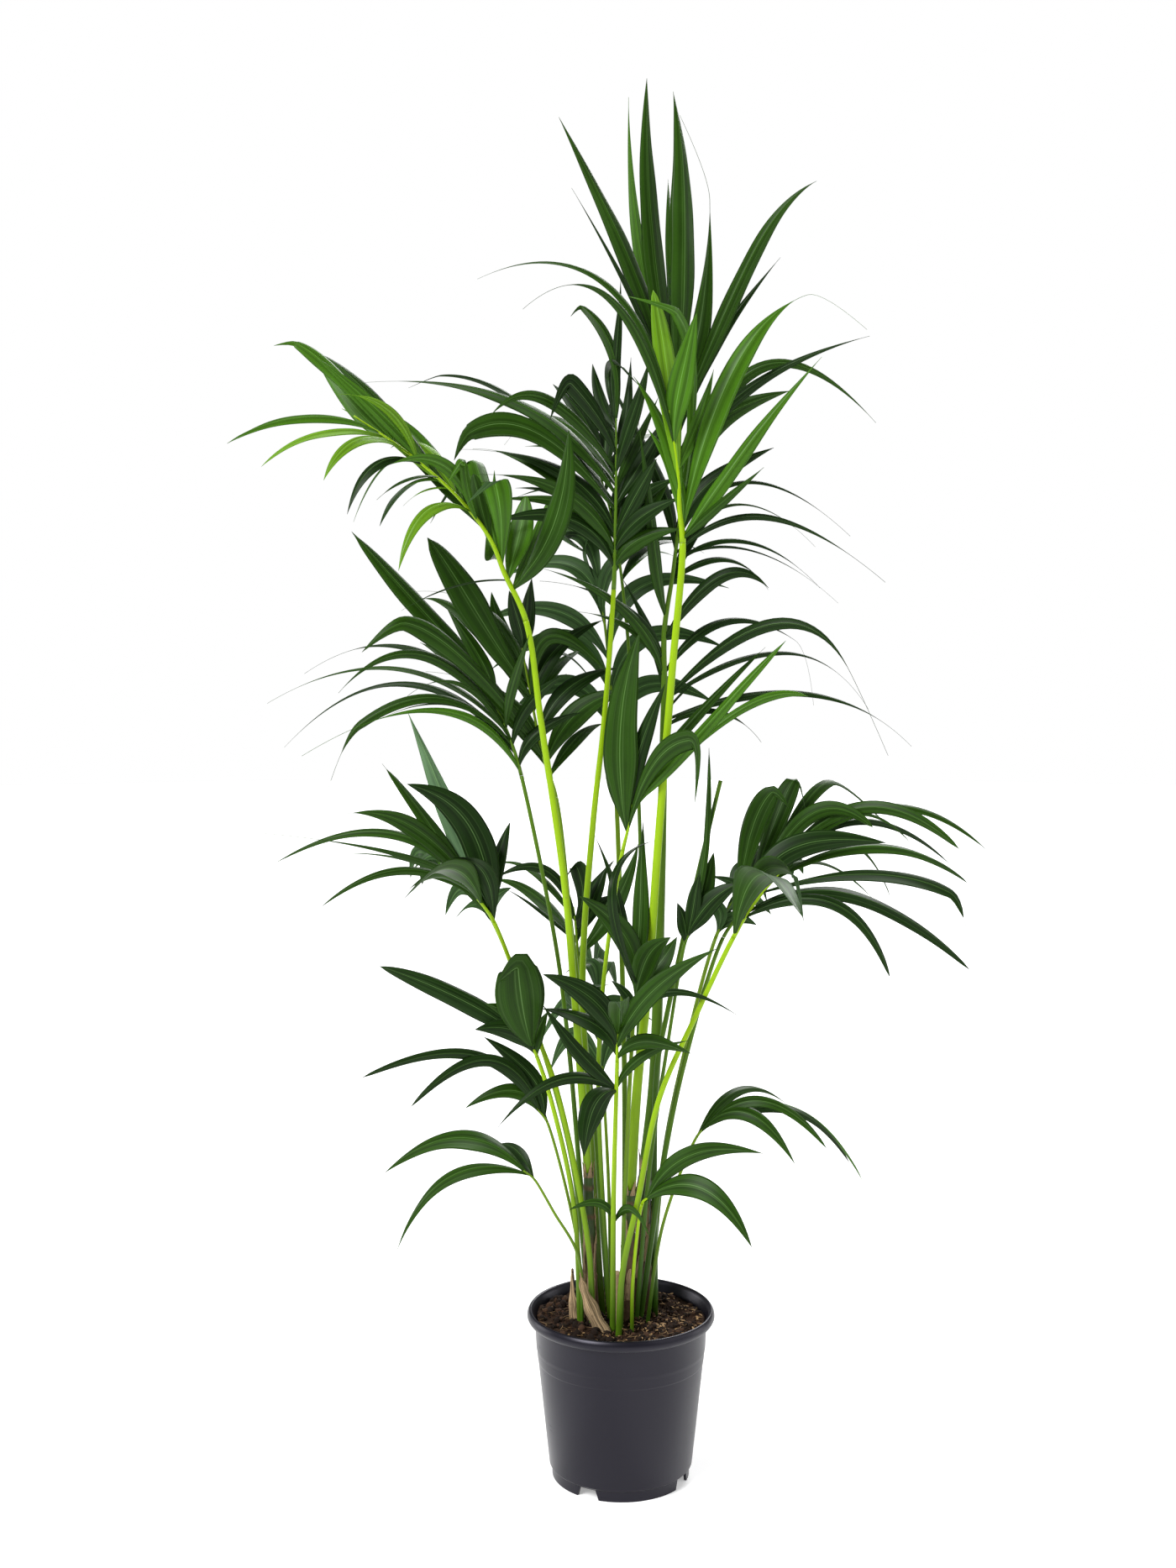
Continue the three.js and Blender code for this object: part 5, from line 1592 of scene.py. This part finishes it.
class Frond:
    """One frond worked out: its stalk, its rib and its leaflets in their places."""

    def __init__(self, spec):
        self.spec = spec
        self.name = spec["name"]
        self.face = unit(np.array(spec["face"], float))
        self.points = [spec["foot"], *spec["stalk"], *spec["rib"]]
        self.collar = len(spec["stalk"]) / (len(self.points) - 1)
        self.line, _ = curve_points(self.points, np.linspace(self.collar, 1, RIB["samples"] + 1))
        self.blades = []

    def stem_line(self, step, start, end):
        """Points and directions along the stem, a step apart, between two shares of its curve."""
        rough, _ = curve_points(self.points, np.linspace(start, end, 60))
        length = np.linalg.norm(np.diff(rough, axis=0), axis=1).sum()
        return curve_points(self.points, np.linspace(start, end, max(8, round(length / step))))

    def stalk_radii(self, count):
        """The stalk's radius from its flared foot to the collar."""
        foot, top = self.spec["radii"]
        return np.linspace(foot, top, count)

    def rows(self, rng):
        """The leaflets: those of the list, or even pairs, and the shorter ones behind them."""
        rows = self.spec.get("leaflets") or feather_rows(self.spec, self.line)
        rows = [*rows, *self.spec.get("more", [])]
        if self.spec.get("fill"):
            rows += fill_rows(rows, rng)
        return rows

    def settle(self, crowd, rng):
        """Finds each leaflet's place, clear of its neighbours."""
        hangs = self.spec.get("hangs", {})
        looks = self.spec.get("looks", {})
        for number, (seat, out, up, back, arch, width, *lean) in enumerate(self.rows(rng)):
            root, _ = line_at(self.line, LEAF["first_seat"] + LEAF["seats"] * seat)
            row = dict(arch=arch, width=width, lean=lean[0] if lean else LEAF["lean"], face=self.face)
            if number in hangs:
                row["hang"] = np.array([hangs[number][0], HANG["front"], hangs[number][1]])
            outline(row, math.hypot(out, up, back), self.spec.get("plump", 1.0))
            row.update(looks.get(number, {}))
            free_of = (self.name,) if seat >= 0 else (self.name, "stalk_" + self.name)
            reach = self.free_reach(crowd, root, (out, back, up), row, free_of)
            if reach is not None:
                points, faces = coarse_blade(root, reach, row, 0.0)
                crowd.add(self.name, points, faces, blade_tree(root, reach, row, 0.0))
                self.blades.append((root, reach, row))

    def free_reach(self, crowd, root, base, row, free_of):
        """A leaflet moved back or forward to miss the others, its own frond's too where that can be."""
        fallback = None
        for step in SHIFTS:
            reach = np.array(base, float) + [0, step, 0]
            if abs(root[1] + reach[1]) > DEPTH:
                continue
            points, faces = coarse_blade(root, reach, row, LEAF["clear"])
            if crowd.meets_others(free_of, points, faces):
                continue
            if not crowd.meets_own(self.name, points, blade_tree(root, reach, row, LEAF["clear"])):
                return reach
            if fallback is None:
                fallback = reach
        return fallback


class PALM_OT_canes(bpy.types.Operator):
    """Add the old canes and the two cut stalks"""

    bl_idname = "palm.canes"
    bl_label = "Canes"

    def execute(self, context):
        colours = context.scene.palm_colours
        rng = np.random.default_rng(context.scene.palm_sizes.seed + SEEDS["canes"])
        skin = cane_finish("old_cane", colours.cane, colours.bark)
        dry = dry_finish("dry_sheath", colours.husk)
        for cane in CANES:
            shape = Shape()
            self.cane(shape, cane, rng)
            finish_piece(shape.build("ringed_" + cane["name"], [skin, dry]), "cane", cane["name"])
        stalk = stalk_finish("cut_stalk", colours.stalk_green, colours.stalk_foot)
        pale = plain_finish("cut_end", colours.husk, 0.8)
        for cut in CUTS:
            share = np.linspace(0, 1, cut["steps"])
            centres, directions = curve_points(cut["line"], share)
            radii = np.linspace(*cut["radii"], cut["steps"])
            face = np.array([0.0, -1.0, 0.3])
            shape = Shape()
            shape.add(*ribbed_tube(
                centres, level_foot(directions), radii, sides=18, ribs=9, depth=0.03, groove=0.1, face=face,
            ))
            made = shape.build("pruned_" + cut["name"], [pale if cut["name"] == "cut_stub" else stalk])
            finish_piece(made, "stalk", cut["name"])
        return {"FINISHED"}

    def cane(self, shape, cane, rng):
        """A tapering cane with ring scars, strips of dry sheath down its side, and shreds on its top."""
        share = np.linspace(0, 1, CANE["rows"])
        centres, directions = curve_points(cane["line"], share)
        foot, top = cane["radii"]
        radii = foot + (top - foot) * share
        for ring in RING["places"]:
            radii = radii + RING["height"] * bell(share - ring, RING["width"])
            radii = radii - RING["groove"] * bell(share - ring - RING["below"], RING["narrow"])
        centres = centres + np.array(CANE["sway"]) * np.sin(share * CANE["bends"])[:, None]
        shape.add(*ribbed_tube(
            centres, level_foot(directions), radii - CANE["inset"], sides=CANE["sides"], ribs=7, depth=0.02,
        ))
        for _ in range(CANE["strips"]):
            self.strip(shape, centres, directions, radii, rng)
        for k in range(TORN["count"]):
            self.torn_top(shape, centres[-1], directions[-1], radii[-1], 2 * math.pi * k / TORN["count"], rng)

    def torn_top(self, shape, end, up, radius, turn, rng):
        """A pointed shred of old sheath that stands round the foot of the stalk on the cane."""
        share = np.linspace(0, 1, TORN["rows"])
        out = self.spokes(np.tile(up, (TORN["rows"], 1)), turn + TORN["turn"] * share)
        height = rng.uniform(*TORN["height"]) * share - TORN["sunk"] * (1 - share)
        middle = end + up * height[:, None] + out * (radius + TORN["lift"] * share**2)[:, None]
        half = TORN["half"] * np.clip(1 - share, 0.03, 1) ** 0.8
        self.shred(shape, middle, np.cross(up, out), out, half, TORN["thick"])

    def strip(self, shape, centres, directions, radii, rng):
        """A strip of old sheath that clings to the cane and curls off at its end."""
        rows = STRIP["rows"]
        share = np.linspace(0, 1, rows)
        start = rng.uniform(*STRIP["foot"])
        end = min(STRIP["top"], start + rng.uniform(*STRIP["length"]))
        at = (np.linspace(start, end, rows) * (len(centres) - 1)).astype(int)
        turn = rng.uniform(0, 2 * math.pi) + np.linspace(-STRIP["turn"], STRIP["turn"], rows)
        out = self.spokes(directions, turn, at)
        lift = STRIP["lift"] + STRIP["curl"] * share**4
        middle = centres[at] + out * (radii[at] + lift)[:, None]
        half = rng.uniform(*STRIP["half"]) * np.sqrt(np.clip(1 - share**3, 0.02, 1))
        self.shred(shape, middle, np.cross(directions[at], out), out, half, STRIP["thick"])

    def spokes(self, directions, turn, at=slice(None)):
        """The ways out from a line at some of its points, each at its own angle round it."""
        across, beside = tube_frames(directions)
        return across[at] * np.cos(turn)[:, None] + beside[at] * np.sin(turn)[:, None]

    def shred(self, shape, middle, side, out, half, thick):
        """A narrow sheet of dry sheath, bowed across."""
        s = np.linspace(-1, 1, 7)
        bow = s**2 * 0.35 * half[:, None]
        face = offset(offset(middle, side, half[:, None] * s), out, -bow)
        add_sheet(shape, face, out, thick, DRY)


class PALM_OT_husks(bpy.types.Operator):
    """Add the dry sheaths round the foot of the canes"""

    bl_idname = "palm.husks"
    bl_label = "Dry sheaths"

    def execute(self, context):
        colours = context.scene.palm_colours
        rng = np.random.default_rng(context.scene.palm_sizes.seed + SEEDS["husks"])
        dry = dry_finish("sheath", colours.husk)
        for husk in HUSKS:
            shape = Shape()
            self.curl(shape, husk, rng)
            finish_piece(shape.build("curled_" + husk["name"], [dry]), "husk", husk["name"])
        return {"FINISHED"}

    def curl(self, shape, husk, rng):
        """A dry sheath: a thin sheet rolled about its middle line, with a torn upper edge."""
        share = np.linspace(0, 1, CURL["rows"])
        centres, directions = curve_points(husk["line"], share)
        directions = level_foot(directions)
        side = unit(np.cross(directions, unit(np.array(husk["face"], float))))
        above = np.cross(side, directions)
        taper = 1 - CURL["narrow"] * share ** CURL["taper"]
        half = husk["width"] / 2 * taper * (1 + CURL["swell"] * np.sin(share * CURL["swells"] + 1))
        half = half[:, None]
        twist = CURL["twist"] * np.sin(share * CURL["twists"] + rng.uniform(0, 6))
        side = turned(side, directions, twist)
        s = np.linspace(-1, 1, CURL["columns"])
        share = share[:, None]
        roll = CURL["roll"] + CURL["more_roll"] * share
        out = np.sin(s * roll) / np.sin(roll) * half
        depth = (np.cos(s * roll) - 1) * half / np.sin(roll) + CURL["lift"]
        crease = CURL["crease"] * np.sin(s * CURL["creases"] + rng.uniform(0, 6)) * (0.6 + share)
        tear = np.interp(s, np.linspace(-1, 1, CURL["tears"]), rng.uniform(*CURL["tear"], CURL["tears"]))
        face = offset(offset(centres, side, out), above, depth + crease)
        add_sheet(shape, offset(face, directions, share ** CURL["torn"] * tear), above, CURL["thick"])


class PALM_OT_fronds(bpy.types.Operator):
    """Add the stalks and the feathered fronds"""

    bl_idname = "palm.fronds"
    bl_label = "Fronds"

    def execute(self, context):
        sizes = context.scene.palm_sizes
        colours = context.scene.palm_colours
        fronds = [Frond(spec) for spec in FRONDS]
        crowd = Crowd()
        for frond in fronds:
            centres, directions = frond.stem_line(30, 0, frond.collar)
            radii = frond.stalk_radii(len(centres))
            points, faces = coarse_tube(centres, directions, radii)
            crowd.add("stalk_" + frond.name, points, faces)
        for i, frond in enumerate(fronds):
            frond.settle(crowd, np.random.default_rng(sizes.seed + SEEDS["places"] + i))
        stems = {}
        for shade in ("bright", "green", "deep"):
            base = getattr(colours, "stalk_" + shade)
            stems[shade] = stalk_finish("stalk_" + shade, base, colours.stalk_foot)
        leaves = []
        # Leaf finishes from the painted shade of deep, through middle green, to the painted light of the
        # lighter greens.
        for shade, lighter, gloss in LEAVES:
            vein = tint(colours.vein, lighter)
            leaves.append(leaf_finish("leaf_" + shade, getattr(colours, shade), vein, sizes.veins, gloss))
        for i, frond in enumerate(fronds):
            stem = frond.spec["stem"]
            rng = np.random.default_rng(sizes.seed + SEEDS["looks"] + i)
            self.petiole(frond, sizes, stems[stem])
            self.leaves(frond, sizes, rng, [*leaves, stems[frond.spec.get("rachis", stem)]])
        return {"FINISHED"}

    def petiole(self, frond, sizes, finish):
        """The stalk up to the collar, with fine ribs and a groove on the face side."""
        centres, directions = frond.stem_line(sizes.stalk_step, 0, frond.collar)
        radii = frond.stalk_radii(len(centres))
        points, places, quads = ribbed_tube(
            centres, level_foot(directions), radii,
            sides=sizes.stalk_sides, ribs=7, depth=0.025, groove=0.35, face=frond.face,
        )
        if frond.spec["foot"][2] > START:
            start_past(places, CANE["past_foot"])
        shape = Shape()
        shape.add(points, places, quads)
        finish_piece(shape.build("petiole_" + frond.name, [finish]), "stalk", "stalk_" + frond.name)

    def leaves(self, frond, sizes, rng, finishes):
        """The rib with its leaflets, joined in one piece."""
        shape = Shape()
        centres, directions = frond.stem_line(sizes.stalk_step, frond.collar, 1)
        centres[0] = centres[0] + directions[0] * GAP
        radii = np.linspace(frond.spec["radii"][1], RIB["tip"], len(centres))
        points, places, quads = ribbed_tube(
            centres, directions, radii, sides=12, ribs=5, depth=0.03, groove=0.3, face=frond.face,
        )
        start_past(places, RIB["past_foot"])
        shape.add(points, places, quads, len(finishes) - 1)
        for root, reach, row in frond.blades:
            look = dict(thread=self.thread(reach, row, rng), fold=rng.uniform(*BLADE["fold"]))
            look["tone"] = pick_tone(frond.spec["light"], rng)
            add_blade(shape, root, reach, {**look, **row}, sizes, rng)
        made = shape.build("leaves_" + frond.name, finishes)
        finish_piece(made, "leaf", "frond_" + frond.name)

    def thread(self, reach, row, rng):
        """The share of a leaflet that is a thread, long on slender ones that arch."""
        length = np.linalg.norm(reach)
        slender = reach[2] < THREAD["steepest"] * length and row["width"] < THREAD["slender"] * length
        if slender and rng.random() < THREAD["chance"]:
            return rng.uniform(*THREAD["share"])
        return 0.0


class PALM_OT_stage(bpy.types.Operator):
    """Add the pale floor, the soft lights and the camera"""

    bl_idname = "palm.stage"
    bl_label = "Stage"

    def execute(self, context):
        scene = context.scene
        self.camera(scene)
        self.floor(scene.palm_colours.floor)
        for name, (source, strength, spread) in LAMPS.items():
            self.lamp(name, Vector(source), strength, spread)
        self.surround(scene)
        scene.view_settings.view_transform = "Standard"
        return {"FINISHED"}

    def camera(self, scene):
        data = bpy.data.cameras.new("front_view")
        data.lens = CAMERA["lens"]
        data.sensor_width = CAMERA["sensor"]
        view = bpy.data.objects.new("front_view", data)
        view.location = CAMERA["place"]
        view.rotation_euler = (math.radians(90 - CAMERA["down"]), 0.0, 0.0)
        scene.collection.objects.link(view)
        scene.camera = view

    def floor(self, colour):
        """A large pale disc under the pot."""
        disc = bmesh.new()
        bmesh.ops.create_circle(disc, cap_ends=True, segments=FLOOR["sides"], radius=FLOOR["radius"])
        mesh = bpy.data.meshes.new("floor")
        disc.to_mesh(mesh)
        disc.free()
        glow = FLOOR["glow"]
        made = Finish("floor_paint", colour, 0.8, Emission_Color=(1, 1, 1, 1), Emission_Strength=glow)
        grain = made.noise(made.place(), 3.0, 2.0)
        made.feed("Roughness", 0.75 + grain * 0.1)
        mesh.materials.append(made.material)
        floor = bpy.data.objects.new("floor", mesh)
        bpy.context.scene.collection.objects.link(floor)

    def lamp(self, name, source, strength, spread):
        """A far soft light that shines from a direction."""
        data = bpy.data.lights.new(name, "SUN")
        data.energy = strength
        data.angle = math.radians(spread)
        lamp = bpy.data.objects.new(name, data)
        lamp.location = source * 3
        lamp.rotation_euler = (-source).to_track_quat("-Z", "Y").to_euler()
        bpy.context.scene.collection.objects.link(lamp)

    def surround(self, scene):
        """A white surround that lights the plant only dimly."""
        world = bpy.data.worlds.new("white_studio")
        world.use_nodes = True
        tree = world.node_tree
        background = tree.nodes["Background"]
        background.inputs["Color"].default_value = (1, 1, 1, 1)
        seen = tree.nodes.new("ShaderNodeLightPath")
        level = tree.nodes.new("ShaderNodeMapRange")
        level.inputs["To Min"].default_value = SURROUND["lit"]
        level.inputs["To Max"].default_value = SURROUND["seen"]
        tree.links.new(seen.outputs["Is Camera Ray"], level.inputs["Value"])
        tree.links.new(level.outputs["Result"], background.inputs["Strength"])
        scene.world = world


class PALM_PT_panel(bpy.types.Panel):
    """The palm's pieces, sizes and colours"""

    bl_label = "Potted palm"
    bl_idname = "PALM_PT_panel"
    bl_space_type = "VIEW_3D"
    bl_region_type = "UI"
    bl_category = "Palm"

    def draw(self, context):
        column = self.layout.column(align=True)
        for operator in OPERATORS:
            column.operator(operator.bl_idname)
        for group in (context.scene.palm_sizes, context.scene.palm_colours):
            box = self.layout.box()
            for name in group.__annotations__:
                box.prop(group, name)


OPERATORS = (PALM_OT_stage, PALM_OT_pot, PALM_OT_soil, PALM_OT_canes, PALM_OT_husks, PALM_OT_fronds)
CLASSES = (PalmSizes, PalmColours, *OPERATORS, PALM_PT_panel)


def register():
    for kind in CLASSES:
        bpy.utils.register_class(kind)
    bpy.types.Scene.palm_sizes = bpy.props.PointerProperty(type=PalmSizes)
    bpy.types.Scene.palm_colours = bpy.props.PointerProperty(type=PalmColours)


def unregister():
    del bpy.types.Scene.palm_colours
    del bpy.types.Scene.palm_sizes
    for kind in reversed(CLASSES):
        bpy.utils.unregister_class(kind)


def main():
    register()
    bpy.ops.palm.stage()
    bpy.ops.palm.pot()
    bpy.ops.palm.soil()
    bpy.ops.palm.canes()
    bpy.ops.palm.husks()
    bpy.ops.palm.fronds()


if __name__ == "__main__":
    main()
